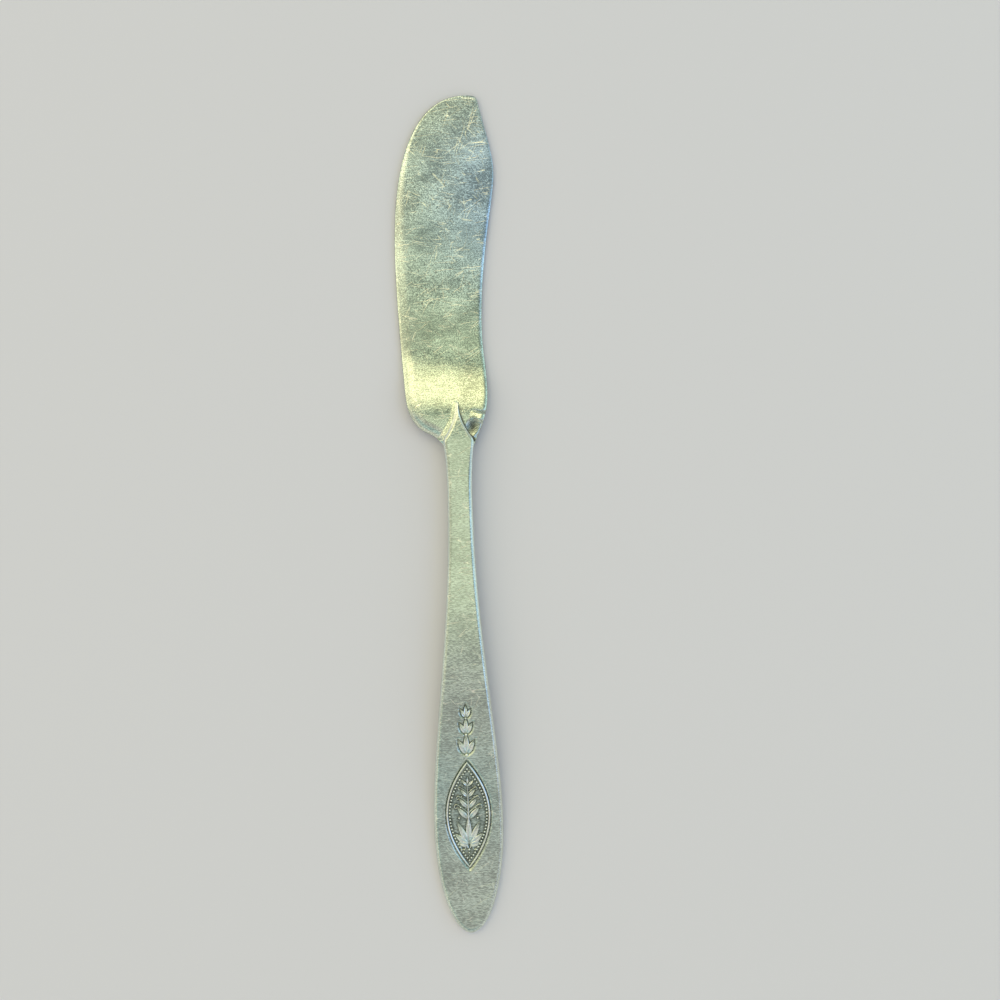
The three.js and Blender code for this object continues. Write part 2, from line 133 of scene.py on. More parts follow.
class BladeSizes(PropertyGroup):
    """Sizes of the blade; rises are measured from the shoulders and setbacks from the tip"""

    edge_heel_reach: length("Edge heel reach", "Centre line to the heel on the edge side", 9.85)
    edge_heel_rise: length("Edge heel rise", "Shoulders to the heel on the edge side", 8.5)
    belly_setback: length("Belly setback", "Tip to the widest place of the edge", 29)
    spine_heel_reach: length("Spine heel reach", "Centre line to the heel on the spine side", 5.7)
    spine_heel_rise: length("Spine heel rise", "Shoulders to the heel on the spine side", 9)
    waist_reach: length("Waist reach", "Centre line to the spine's waist", 4.9)
    waist_rise: length("Waist rise", "Shoulders to the spine's waist", 21)
    bulge_setback: length("Bulge setback", "Tip to the widest place of the spine", 14.7)
    tip_reach: length("Tip reach", "Centre line to the middle of the tip", 2.9)
    tip_flat: length("Tip flat", "Width of the tip's last row", 0.5)
    clip_reach: length("Clip reach", "Centre line to the corner of the clipped tip", 5.15)
    clip_setback: length("Clip setback", "Tip to the corner of the clipped tip", 1.1)
    notch_reach: length("Notch reach", "Centre line to where the heel turns out of the neck", 4.65)
    notch_rise: length("Notch rise", "Shoulders to where the heel turns out of the neck", 0.95)
    butt_inset: length("Butt inset", "How far the blade's butt lies under the neck", 1.5)
    heel_thickness: length("Heel thickness", "Thickness at the heel", 1.5)
    tip_thickness: length("Tip thickness", "Thickness at the tip", 0.95)
    crank_rise: length("Crank", "How far the heel stands above the blade", 1.5)
    crank_start: length("Crank start", "Shoulders to the start of the crank", 4.6)
    crank_length: length("Crank length", "Length of the crank", 12)
    crank_skew: share("Crank skew", "Under 1, the crank starts in a tighter bend and ends gently", 0.85)
    crank_fan: share("Crank fan", "How much shorter the crank is towards the spine", 0.2)
    edge_bevel_width: length("Edge bevel width", "Rounded bevel along the edge", 2.2)
    edge_bevel_drop: length("Edge bevel drop", "How far that bevel falls", 0.6)
    edge_bevel_tip: share("Edge bevel at the tip", "How much of that bevel is left at the tip", 0.15)
    heel_bevel_width: length("Heel bevel width", "Flat bevel across the heel's round corner", 1.15)
    heel_bevel_drop: length("Heel bevel drop", "How far that bevel falls", 0.38)
    heel_bevel_start: length("Heel bevel start", "Shoulders to the start of that bevel", 0)
    heel_bevel_end: length("Heel bevel end", "Shoulders to the end of that bevel", 6.2)
    heel_bevel_fade: length("Heel bevel fade", "Rise over which that bevel comes and goes", 1.2)
    spine_bevel_width: length("Spine bevel width", "Rounded bevel along the spine", 0.85)
    spine_bevel_drop: length("Spine bevel drop", "How far that bevel falls", 0.3)
    ease: length("Ease", "Rounding of the underside's sides", 0.7)
    ease_rise: length("Ease rise", "How far that rounding rises", 0.2)
    corner: length("Corner", "Radius of the last corner before the side wall", 0.12)
    hollow_reach: length("Hollow reach", "Centre line to the middle of the struck hollow", 2.7)
    hollow_rise: length("Hollow rise", "Shoulders to the middle of the struck hollow", 2.5)
    hollow_width: length("Hollow width", "Across the struck hollow", 2.9)
    hollow_length: length("Hollow length", "Along the struck hollow", 3.8)
    hollow_depth: length("Hollow depth", "Depth of the struck hollow", 0.32)
    hollow_turn: turn("Hollow turn", "How far the struck hollow is turned", 22)
    crease_reach: length("Crease reach", "Centre line to the crease where it leaves the spine", 5.6)
    crease_rise: length("Crease rise", "Shoulders to the crease where it leaves the spine", 5.0)
    crease_end_reach: length("Crease end reach", "Centre line to the crease's inner end", 2.5)
    crease_end_rise: length("Crease end rise", "Shoulders to the crease's inner end", 5.6)
    crease_depth: length("Crease depth", "Depth of the crease behind the hollow", 0.26)
    crease_width: length("Crease width", "Half the width of the crease", 0.24)
    lip_height: length("Lip height", "Lip between the hollow and the crease", 0.36)
    lip_reach: length("Lip reach", "Crease to the top of the lip", 1.3)
    lip_fall: length("Lip fall", "Top of the lip to its foot in the hollow", 0.9)
    fillet_width: length("Fillet width", "Soft fillet beside the tongue, on the edge side", 1.1)
    fillet_tip_width: length("Fillet tip width", "Width of that fillet at the tongue's tip", 0.42)
    fillet_slope: share("Fillet slope", "How far that fillet rises for its width", 0.42)
    tang_width: length("Tang width", "Across the tang", 3)
    tang_thickness: length("Tang thickness", "Thickness of the tang", 0.8)


class OrnamentSizes(PropertyGroup):
    """Sizes of the ornament struck into the handle's face"""

    setback: length("Setback", "Handle's end to the medallion's lower point", 12)
    medallion_length: length("Medallion length", "Along the medallion", 21)
    medallion_width: length("Medallion width", "Across the medallion", 8.4)
    ground_depth: length("Ground depth", "How far the ground is sunk", 0.25)
    groove: length("Groove", "Sunk line round the outside of the ornament", 0.3)
    relief: length("Relief", "Height of the leaves above the ground", 0.42)
    rim_width: length("Rim width", "Width of the raised rim", 0.46)
    bead_width: length("Bead width", "Width of one bead of the border", 0.5)
    bead_pitch: length("Bead pitch", "From bead to bead", 0.62)
    # Reach of the patina and painted shade round the foot of the relief
    tarnish_and_shade_reach: length("Tarnish reach", "How far tarnish spreads from the foot of the relief", 0.45)
    fan_rise: length("Fan rise", "Lower point to the foot of the leaf fan", 4.6)
    fan_leaf_length: length("Fan leaf", "Length of the fan's middle leaf", 6)
    fan_leaf_width: length("Fan leaf width", "Width of a fan leaf", 1.3)
    fan_leaves: count("Fan leaves", "Leaves in the fan", 7)
    fan_spread: turn("Fan spread", "From the first leaf to the last", 150)
    fan_side_share: share("Fan side share", "Length of a leaf that lies square to the handle", 0.36)
    spray_rise: length("Spray rise", "Lower point to the lowest pair of spray leaves", 9.6)
    spray_pairs: count("Spray pairs", "Pairs of leaves on the spray", 4)
    spray_pitch: length("Spray pitch", "From pair to pair", 2.1)
    spray_leaf_length: length("Spray leaf", "Length of a leaf of the lowest pair", 3.3)
    spray_leaf_width: length("Spray leaf width", "Width of a leaf of the lowest pair", 1.15)
    spray_taper: share("Spray taper", "Each pair against the one below it", 0.82)
    spray_turn: turn("Spray turn", "Lean of the spray's leaves", 42)
    stem_width: length("Stem width", "Width of the spray's stem", 0.36)
    tendril_width: length("Tendril width", "Width of a tendril between the spray's leaves", 0.3)
    volute_width: length("Volute width", "Across one of the two scrolls under the fan", 1.3)
    husk_gap: length("Husk gap", "Medallion's upper point to the first husk", 0.9)
    husks: count("Husks", "Husks in the chain", 3)
    husk_length: length("Husk", "Length of the lowest husk", 4.2)
    husk_width: length("Husk width", "Width of a petal of the lowest husk", 1.3)
    husk_taper: share("Husk taper", "Each husk against the one below it", 0.8)
    husk_pitch: share("Husk pitch", "Husk to husk, in lengths of the lower one", 0.92)
    husk_side_share: share("Husk side share", "Length of a husk's side petals", 0.8)
    husk_turn: turn("Husk turn", "Lean of a husk's side petals", 28)


class FinishSettings(PropertyGroup):
    """Colours and grain of the plated metal, with its painted highlight, painted shade and painted bluish
    reflection
    """

    handle: colour("Handle", "Worn plate of the handle", (0.44, 0.51, 0.41))
    blade: colour("Blade", "Worn plate of the blade", (0.44, 0.52, 0.40))
    # Film: painted bluish reflection of cool light, mixed into the blade's colour towards its tip and spine
    film: colour("Film", "Plate under the thin blue film towards the blade's tip", (0.39, 0.50, 0.60))
    braze: colour("Braze", "Pale braze of the joint", (0.48, 0.44, 0.27))
    # Dark colour for patina and painted shade in hollows, seams and creases
    tarnish_and_shade: colour("Tarnish", "Dark tarnish left in the hollows", (0.035, 0.038, 0.032))
    # Colour of worn polish and painted highlight on edges and relief
    bright: colour("Bright", "Edges and relief that wear has polished", (0.88, 0.91, 0.8))
    scratch: colour("Scratch", "Open scratches", (0.88, 0.88, 0.68))
    handle_grain: length("Handle grain", "Run of the grain across the handle", 0.6)
    handle_wear: share("Handle wear", "How far the grain lightens and darkens the handle", 0.36)
    blade_grain: length("Blade grain", "Run of the grain across the blade", 0.18)
    blade_wear: share("Blade wear", "How far the grain lightens and darkens the blade", 0.56)


class StageSettings(PropertyGroup):
    """Camera, floor and light"""

    lens: FloatProperty(name="Lens", description="Focal length in millimetres", default=50)
    view_width: length("View width", "Width of the view at the spreader", 188.5)
    view_height: length("View height", "Height over the table at which the view has that width", 1.3)
    view_x: length("View across", "Centre line to the middle of the view", 7.47)
    view_y: length("View along", "Handle's end to the middle of the view", 81.4)
    view_turn: turn("View turn", "How far the camera is turned", -1.486)
    floor_size: length("Floor", "Side of the square floor", 4000)
    floor: colour("Floor", "Pale matt floor", (0.64, 0.64, 0.65))
    warm: colour("Warm", "Glow beyond the blade and beside its edge", (1.0, 0.8, 0.48))
    cool: colour("Cool", "Lamp beside the spine", (0.38, 0.72, 1.0))
    blue: colour("Blue", "Glow beside the spine", (0.18, 0.42, 1.0))
    soft: colour("Soft", "Glow above the stem", (1.0, 0.97, 0.72))
    room_near: colour("Room, blade side", "Light of the room beyond the blade", (0.57, 0.65, 0.58))
    room_far: colour("Room, handle side", "Light of the room behind the handle", (0.73, 0.70, 0.74))
    room_low: colour("Room, low down", "Light of the room near the floor", (0.74, 0.77, 0.80))
    dusk: colour("Dusk", "Dark corner of the room, behind the handle on the edge side", (0.34, 0.56, 0.70))
    edge_lamp: share("Edge lamp", "Brightness of the lamp beside the edge", 0.9)
    spine_lamp: share("Spine lamp", "Brightness of the lamp beside the spine", 0.7)
    stem_glow: share("Stem glow", "Brightness of the soft glow above the stem", 1.1)
    beyond_glow: share("Glow beyond", "Brightness of the warm glow beyond the blade", 1.85)
    edge_glow: share("Edge glow", "Brightness of the warm glow beside the edge", 0.36)
    spine_glow: share("Spine glow", "Brightness of the blue glow beside the spine", 1.5)


class SpreaderSettings(PropertyGroup):
    """Everything that can be set on the spreader"""

    handle: PointerProperty(type=HandleSizes)
    blade: PointerProperty(type=BladeSizes)
    ornament: PointerProperty(type=OrnamentSizes)
    finish: PointerProperty(type=FinishSettings)
    stage: PointerProperty(type=StageSettings)


# Small sums on arrays

def blend(low, high, part):
    return low + (high - low) * part


def ramp(value, start, end):
    """Share of the way from start to end, held at 0 and 1."""
    return np.clip((value - start) / (end - start), 0, 1)


def smooth(value, start, end):
    part = ramp(value, start, end)
    return part * part * (3 - 2 * part)


def bevel_share(distance, width):
    """Share of a rounded bevel's drop: whole at the outline, none beyond the bevel's width."""
    return np.clip(1 - distance / width, 0, 1) ** 2


def corner_drop(distance, radius):
    """Drop of a quarter round at the outline."""
    inward = np.clip(radius - distance, 0, radius)
    return radius - np.sqrt(radius**2 - inward**2)


def distance_to(line, x, y):
    """Distance in plan from each point to a line of points."""
    least = np.full(len(x), np.inf)
    for (ax, ay), (bx, by) in zip(line[:-1], line[1:]):
        run_x, run_y = bx - ax, by - ay
        reach = max(run_x**2 + run_y**2, 1e-18)
        part = np.clip(((x - ax) * run_x + (y - ay) * run_y) / reach, 0, 1)
        least = np.minimum(least, np.hypot(x - ax - part * run_x, y - ay - part * run_y))
    return least


# Handle in plan and from the side

CURVE_STEPS = 32
EDGE, SPINE = -1, 1


def widest(sizes):
    return sizes.end_length


def narrowest(sizes):
    return sizes.end_length + sizes.shank_length


def shoulder(sizes):
    return TONGUE_TIP - sizes.tongue_length


def neck_start(sizes):
    return TANG_END - sizes.neck_margin


def tongue_share(sizes, y):
    return ramp(y, shoulder(sizes), TONGUE_TIP)


def handle_side(sizes, y, side):
    """Where the handle's edge side or spine side runs, at each y."""
    y = np.asarray(y, dtype=float)
    wide, stem = sizes.width / 2, sizes.stem_width / 2
    knots = (
        Vector((wide, widest(sizes))),
        Vector((wide, widest(sizes) + sizes.belly_pull)),
        Vector((stem, narrowest(sizes) - sizes.stem_pull)),
        Vector((stem, narrowest(sizes))),
    )
    flank = np.array(interpolate_bezier(*knots, CURVE_STEPS))
    before_widest = np.clip(1 - y / widest(sizes), 0, 1)
    end = np.maximum(wide * np.sqrt(1 - before_widest**2), sizes.end_flat / 2)
    shank = np.interp(y, flank[:, 1], flank[:, 0])
    neck_share = ramp(y, narrowest(sizes), shoulder(sizes))
    neck = blend(stem, sizes.shoulder_width / 2, neck_share**sizes.neck_flare)
    tongue_part = tongue_share(sizes, y)
    hollow = sizes.spine_hollow if side == SPINE else sizes.edge_hollow
    tongue = blend(sizes.tongue_tip_width, sizes.shoulder_width, (1 - tongue_part) ** hollow) / 2
    stretches = [y <= widest(sizes), y <= narrowest(sizes), y <= shoulder(sizes)]
    return side * np.select(stretches, [end, shank, neck], tongue) - sizes.tongue_lean * tongue_part


def handle_line(sizes, side, start=0.0, end=TONGUE_TIP, steps=400):
    """Points along one side of the handle, closer together towards both ends."""
    y = blend(start, end, (1 - np.cos(np.linspace(0, math.pi, steps))) / 2)
    return np.column_stack([handle_side(sizes, y, side), y])


def tongue_middle(sizes, y):
    return (handle_side(sizes, y, EDGE) + handle_side(sizes, y, SPINE)) / 2


def handle_bevel(sizes, y):
    """Drop of the handle's round bevel, which gets slighter along the tongue."""
    return sizes.bevel_drop * blend(1, sizes.tongue_bevel_share, tongue_share(sizes, y))


def handle_underside(sizes, crank_rise, y):
    part = ramp(y, sizes.rest_length, neck_start(sizes))
    return crank_rise * smooth(part, 0, 1) + sizes.arch_rise * np.sin(math.pi * part) ** 2


def handle_face(sizes, crank_rise, y):
    """Height of the middle of the handle's face."""
    rise = smooth(y, widest(sizes), neck_start(sizes))
    body = handle_underside(sizes, crank_rise, y) + blend(sizes.end_thickness, sizes.neck_thickness, rise)
    tip = TONGUE_SEAT + sizes.tongue_tip_height
    return blend(body, tip, tongue_share(sizes, y) ** sizes.tongue_fall)


# Blade in plan and from the side

# Each curve of the blade's outline from its butt to its tip: how far it runs on straight as it leaves one
# place and as it arrives at the next, in millimetres, each with its turn from straight along the blade, in
# degrees
EDGE_CURVES = (
    ((0.95, 0), (0.95, 45)),
    ((3, 76), (4.2, 5)),
    ((7.5, 5), (8.5, 0)),
    ((18, 0), (9.2, -90)),
)
SPINE_CURVES = (
    ((2.8, -17), (5, 0)),
    ((4, 0), (4, 0)),
    ((14, 0), (4.5, 0)),
    ((3.5, 0), (4.1, 12)),
    ((1, 12), (1.25, 90)),
)

# Powers of the curves along which the fillet rises, the hollow deepens and the crease runs out
FILLET_CURVE = 1.15
HOLLOW_CURVE = 1.5
CREASE_CURVE = 0.6

TONGUE_STEPS = 60


def along(distance, degrees):
    """Step of a given length, turned from straight along the blade towards the edge side."""
    angle = math.radians(degrees)
    return Vector((-math.sin(angle), math.cos(angle))) * distance * MM


def side_line(start, stops, curves):
    """Points on a chain of curves from stop to stop."""
    points = [start]
    for end, (leave, arrive) in zip(stops, curves):
        knot = points[-1]
        points += interpolate_bezier(knot, knot + along(*leave), end - along(*arrive), end, CURVE_STEPS)[1:]
    return np.array(points)


def blade_sides(blade, handle):
    """The blade's edge side and spine side, from its butt to its tip."""
    base = shoulder(handle)
    blade_length = BLADE_TIP - base
    butt = base - blade.butt_inset
    heel_start = float(handle_side(handle, butt, SPINE))

    def at(reach, rise):
        return Vector((reach, base + rise))

    edge_stops = (
        at(-blade.notch_reach, blade.notch_rise),
        at(-blade.edge_heel_reach, blade.edge_heel_rise),
        at(-EDGE_REACH, blade_length - blade.belly_setback),
        at(blade.tip_reach - blade.tip_flat / 2, blade_length),
    )
    spine_stops = (
        at(blade.spine_heel_reach, blade.spine_heel_rise),
        at(blade.waist_reach, blade.waist_rise),
        at(SPINE_REACH, blade_length - blade.bulge_setback),
        at(blade.clip_reach, blade_length - blade.clip_setback),
        at(blade.tip_reach + blade.tip_flat / 2, blade_length),
    )
    edge = side_line(Vector((-heel_start, butt)), edge_stops, EDGE_CURVES)
    spine = side_line(Vector((heel_start, butt)), spine_stops, SPINE_CURVES)
    return edge, spine


def blade_underside(blade, handle, x, y):
    start = shoulder(handle) + blade.crank_start
    part = ramp(y, start, start + blade.crank_length - blade.crank_fan * x)
    return blade.crank_rise * (1 - smooth(part**blade.crank_skew, 0, 1))


def heel_bevel(blade, handle, to_edge, y):
    """Drop of the flat bevel across the round corner of the heel."""
    rise = y - shoulder(handle)
    comes = smooth(rise, blade.heel_bevel_start, blade.heel_bevel_start + blade.heel_bevel_fade / 2)
    goes = smooth(rise, blade.heel_bevel_end - blade.heel_bevel_fade, blade.heel_bevel_end)
    return blade.heel_bevel_drop * np.clip(1 - to_edge / blade.heel_bevel_width, 0, 1) * (comes - goes)


def blade_thickness(blade, handle, y):
    start = shoulder(handle) + blade.crank_start
    return blend(blade.heel_thickness, blade.tip_thickness, ramp(y, start, BLADE_TIP))


def tongue_fillet(blade, handle, x, y):
    """Soft rise of the heel against the edge side of the tongue."""
    base = shoulder(handle)
    line = handle_line(handle, EDGE, base - blade.butt_inset, TONGUE_TIP, TONGUE_STEPS)
    width = blend(blade.fillet_width, blade.fillet_tip_width, tongue_share(handle, y))
    comes = smooth(y, base - blade.fillet_width, base + blade.fillet_width)
    goes = smooth(y, TONGUE_TIP, TONGUE_TIP + blade.fillet_width)
    close = np.clip(1 - distance_to(line, x, y) / width, 0, 1)
    rise = blade.fillet_slope * width * close**FILLET_CURVE
    return np.where(x < tongue_middle(handle, y), rise * (comes - goes), 0)


def struck_hollow(blade, handle, x, y):
    """Depth of the hollow struck beside the tongue, on the spine side."""
    away_x = x - blade.hollow_reach
    away_y = y - shoulder(handle) - blade.hollow_rise
    cosine, sine = math.cos(blade.hollow_turn), math.sin(blade.hollow_turn)
    across = (away_x * cosine - away_y * sine) / (blade.hollow_width / 2)
    lengthways = (away_x * sine + away_y * cosine) / (blade.hollow_length / 2)
    return blade.hollow_depth * np.clip(1 - across**2 - lengthways**2, 0, 1) ** HOLLOW_CURVE


def crease_and_lip(blade, handle, x, y):
    """Shares of the depth of the crease that runs in from the spine, and of the height of its lip."""
    base = shoulder(handle)
    start = Vector((blade.crease_reach, base + blade.crease_rise))
    end = Vector((blade.crease_end_reach, base + blade.crease_end_rise))
    run = (end - start).normalized()
    part = np.clip(((x - start.x) * run.x + (y - start.y) * run.y) / (end - start).length, 0, 1)
    left_over = (1 - part) ** CREASE_CURVE
    off = (y - start.y) * run.x - (x - start.x) * run.y
    crease = np.exp(-((off / blade.crease_width) ** 2)) * left_over
    lip_end = blade.lip_reach + blade.lip_fall
    lip = (ramp(off, 0, blade.lip_reach) - smooth(off, blade.lip_reach, lip_end)) * left_over
    return crease, lip


# Ornament in plan

RELIEF = ("medallion_border", "leaf_fan", "leaf_spray", "husk_chain")
LEAF_FULLNESS = 0.8
LEAF_TIP = 0.04
OVAL_STEPS = 160


def leaf_swell(part):
    """Width of a leaf along its length, as a share of its greatest width."""
    return np.maximum(np.sin(math.pi * part**LEAF_FULLNESS), LEAF_TIP)


def medallion_middle(ornament):
    return ornament.setback + ornament.medallion_length / 2


def medallion_head(ornament):
    return ornament.setback + ornament.medallion_length


def medallion_line(ornament, inset):
    """Closed pointed oval at a given distance inside the medallion's outline."""
    shrink = 1 - 2 * inset / ornament.medallion_width
    part = np.linspace(-1, 1, OVAL_STEPS)
    half = ornament.medallion_width / 2 * shrink * (1 - part**2)
    y = medallion_middle(ornament) + ornament.medallion_length / 2 * shrink * part
    right = np.column_stack([half, y])
    left = np.column_stack([-half, y])[::-1]
    return np.vstack([right, left[1:]])


def inside_medallion(ornament, x, y):
    part = (y - medallion_middle(ornament)) / (ornament.medallion_length / 2)
    return np.abs(x) < ornament.medallion_width / 2 * (1 - part**2)


def husk_feet(ornament):
    """Place of each husk's foot and its size against the lowest."""
    feet = []
    foot = medallion_head(ornament) + ornament.husk_gap
    for husk in range(ornament.husks):
        size = ornament.husk_taper**husk
        feet.append((foot, size))
        foot += ornament.husk_length * size * ornament.husk_pitch
    return feet


def ornament_ground(ornament, x, y):
    """Share of the ground's depth: whole under the ornament, none outside its groove."""
    to_rim = distance_to(medallion_line(ornament, 0), x, y)
    outward = np.where(inside_medallion(ornament, x, y), -to_rim, to_rim)
    ground = 1 - smooth(outward, 0, ornament.groove)
    for foot, size in husk_feet(ornament):
        for side in (-1, 0, 1):
            run = ornament.husk_length * size * (ornament.husk_side_share if side else 1)
            cosine, sine = math.cos(side * ornament.husk_turn), math.sin(side * ornament.husk_turn)
            upward = x * sine + (y - foot) * cosine
            half = ornament.husk_width * size / 2 * leaf_swell(ramp(upward, 0, run))
            outside = np.maximum(np.abs(x * cosine - (y - foot) * sine) - half, 0)
            to_petal = np.hypot(outside, np.maximum(upward - run, 0) + np.maximum(-upward, 0))
            ground = np.maximum(ground, 1 - smooth(to_petal, 0, ornament.groove))
    return ground


def beside_relief(ornament, x, y, z, ground):
    """Share of patina and painted shade on the ground: whole at the foot of the relief, none beyond its
    reach.
    """
    graph = bpy.context.evaluated_depsgraph_get()
    relief = [BVHTree.FromObject(bpy.data.objects[name], graph) for name in RELIEF]
    beside = np.zeros(len(x))
    for index in np.flatnonzero(ground > 0):
        place = Vector((x[index], y[index], z[index])) + ORIGIN
        for tree in relief:
            distance = tree.find_nearest(place, ornament.tarnish_and_shade_reach)[3]
            if distance is not None:
                beside[index] = max(beside[index], 1 - distance / ornament.tarnish_and_shade_reach)
    return beside


# Modelling steps

SMOOTH_ANGLE = math.radians(40)


def select_only(piece):
    bpy.ops.object.select_all(action="DESELECT")
    piece.select_set(True)
    bpy.context.view_layer.objects.active = piece


def select_vertices(piece, test):
    """Selects, in edit mode, the vertices whose index and place pass a test."""
    bpy.ops.mesh.select_all(action="DESELECT")
    bpy.ops.object.mode_set(mode="OBJECT")
    for vertex in piece.data.vertices:
        vertex.select = bool(test(vertex.index, vertex.co))
    bpy.ops.object.mode_set(mode="EDIT")


def finish_with(piece, kind, **settings):
    """Adds a modifier to a piece and applies it."""
    select_only(piece)
    modifier = piece.modifiers.new(kind.title(), kind)
    for name, value in settings.items():
        setattr(modifier, name, value)
    bpy.ops.object.modifier_apply(modifier=modifier.name)


def drawn_sheet(name, rows, columns):
    """Flat sheet: a row of edges drawn out from row to row, each (y, left, right), moved and widened."""
    bpy.ops.object.select_all(action="DESELECT")
    bpy.ops.mesh.primitive_grid_add(x_subdivisions=len(columns) - 1, y_subdivisions=1, size=1)
    piece = bpy.context.object
    piece.name = name
    width = len(columns)
    bpy.ops.object.mode_set(mode="EDIT")
    bpy.ops.mesh.select_mode(type="VERT")
    for number, part in enumerate(columns):
        select_vertices(piece, lambda index, place: index % width == number)
        even = number / (width - 1)
        bpy.ops.transform.translate(value=(part - even, 0, 0))
    for number, (y, left, right) in enumerate(rows[:2]):
        select_vertices(piece, lambda index, place: index // width == number)
        bpy.ops.transform.resize(value=(right - left, 1, 1), center_override=(0, 0, 0))
        bpy.ops.transform.translate(value=((left + right) / 2, y + 0.5 - number, 0))
    for (last_y, last_left, last_right), (y, left, right) in zip(rows[1:-1], rows[2:]):
        middle, last_middle = (left + right) / 2, (last_left + last_right) / 2
        step = (middle - last_middle, y - last_y, 0)
        bpy.ops.mesh.extrude_region_move(TRANSFORM_OT_translate={"value": step})
        widen = (right - left) / (last_right - last_left)
        bpy.ops.transform.resize(value=(widen, 1, 1), center_override=(middle, y, 0))
    bpy.ops.object.mode_set(mode="OBJECT")
    return piece


def sheet_sides(piece):
    """The two sides of a flat sheet as lines of points, edge side first."""
    mesh = bmesh.new()
    mesh.from_mesh(piece.data)
    first = next(vertex for vertex in mesh.verts if vertex.is_boundary)
    loop, last, here = [], None, first
    while here is not first or not loop:
        loop.append(here.co.xy)
        last = next(edge for edge in here.link_edges if edge.is_boundary and edge is not last)
        here = last.other_vert(here)
    line = np.array(loop)
    mesh.free()
    line = np.roll(line, -int(np.argmin(line[:, 1])), axis=0)
    top = int(np.argmax(line[:, 1]))
    sides = line[: top + 1], np.vstack([line[top:], line[:1]])
    return sorted(sides, key=lambda side: side[:, 0].mean())


def places(piece):
    """The piece's vertices as arrays of x, y and z."""
    flat = np.empty(len(piece.data.vertices) * 3)
    piece.data.vertices.foreach_get("co", flat)
    return flat.reshape(-1, 3).T


def lift(piece, heights):
    """Lifts each vertex by its height, with a Displace modifier weighted by a vertex group."""
    peak = float(np.max(heights))
    group = piece.vertex_groups.new(name="lift")
    for index, part in enumerate(heights / peak):
        group.add([index], float(part), "REPLACE")
    finish_with(piece, "DISPLACE", direction="Z", strength=peak, mid_level=0, vertex_group="lift")
    piece.vertex_groups.remove(piece.vertex_groups["lift"])


def mark(piece, name, values):
    """Keeps a number for each vertex, which the finish reads."""
    attribute = piece.data.attributes.new(name, "FLOAT", "POINT")
    attribute.data.foreach_set("value", np.asarray(values, dtype=np.float32))


def cut_block(name, low, high):
    """Plain block between two corners, for a boolean step."""
    bpy.ops.object.select_all(action="DESELECT")
    middle = (Vector(low) + Vector(high)) / 2
    bpy.ops.mesh.primitive_cube_add(size=1, location=middle, scale=Vector(high) - Vector(low))
    block = bpy.context.object
    block.name = name
    bpy.ops.object.transform_apply(location=True, rotation=True, scale=True)
    return block


def combine(piece, block, operation):
    """Cuts a block from a piece, or adds it, and takes the block away."""
    finish_with(piece, "BOOLEAN", object=block, operation=operation, solver="EXACT")
    discard(block)


def copy_of(piece, place=(0, 0, 0), lean=0.0, scale=(1, 1, 1)):
    """Copy with its own mesh, scaled, turned and moved within it."""
    select_only(piece)
    bpy.ops.object.duplicate(linked=False)
    made = bpy.context.object
    made.scale = scale
    made.rotation_euler.z = -lean
    made.location = place
    bpy.ops.object.transform_apply(location=True, rotation=True, scale=True)
    return made


def joined(name, pieces):
    bpy.ops.object.select_all(action="DESELECT")
    for piece in pieces:
        piece.select_set(True)
    bpy.context.view_layer.objects.active = pieces[0]
    bpy.ops.object.join()
    whole = bpy.context.object
    whole.name = name
    return whole


def discard(*pieces):
    for piece in pieces:
        bpy.data.objects.remove(piece)


def settle(piece, material):
    """Moves a finished piece to its place in the frame, shades it and hands it to the frame."""
    piece.location = ORIGIN
    select_only(piece)
    bpy.ops.object.transform_apply(location=True, rotation=True, scale=True)
    bpy.ops.object.mode_set(mode="EDIT")
    bpy.ops.mesh.select_all(action="SELECT")
    bpy.ops.mesh.normals_make_consistent(inside=False)
    bpy.ops.object.mode_set(mode="OBJECT")
    bpy.ops.object.shade_smooth_by_angle(angle=SMOOTH_ANGLE)
    piece.data.name = piece.name
    piece.data.materials.clear()
    piece.data.materials.append(material)
    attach(piece, "root")


# Finishes

# Patches that break up scratches, against a scratch's run, width and shift, and how soft their sides are
PATCH_RUN = 0.35
PATCH_WIDTH = 1.4
PATCH_SHIFT = 7.3
PATCH_EDGE = 0.1


def add_node(tree, kind, inputs=None, **settings):
    """Adds a node; an input is linked if it is given a socket, and set otherwise."""
    node = tree.nodes.new(kind)
    for name, value in settings.items():
        setattr(node, name, value)
    for name, value in (inputs or {}).items():
        if isinstance(value, NodeSocket):
            tree.links.new(value, node.inputs[name])
        else:
            node.inputs[name].default_value = value
    return node


def sums(tree, operation, first, second):
    return add_node(tree, "ShaderNodeMath", {0: first, 1: second}, operation=operation).outputs[0]


def mixed(tree, part, first, second, blend_type="MIX"):
    """Colour between two others, or the first with a part of the second added."""
    inputs = {0: part, 6: first, 7: second}
    return add_node(tree, "ShaderNodeMix", inputs, data_type="RGBA", blend_type=blend_type).outputs[2]


def between(tree, value, start, end, low=0.0, high=1.0):
    """A value's place between start and end, spread smoothly from low to high."""
    inputs = {"Value": value, "From Min": start, "From Max": end, "To Min": low, "To Max": high}
    return add_node(tree, "ShaderNodeMapRange", inputs, interpolation_type="SMOOTHSTEP").outputs["Result"]


def stretched_noise(tree, coordinates, run, width, lean, shift, detail=2.0):
    """Noise drawn out to a run and a width, along a direction in plan."""
    mapping = add_node(
        tree,
        "ShaderNodeMapping",
        {
            "Vector": coordinates,
            "Location": (shift * MM, shift * MM, 0),
            "Rotation": (0, 0, lean),
            "Scale": (run * MM, width * MM, width * MM),
        },
        vector_type="TEXTURE",
    )
    inputs = {"Vector": mapping.outputs["Vector"], "Scale": 1.0, "Detail": detail}
    return add_node(tree, "ShaderNodeTexNoise", inputs).outputs["Fac"]


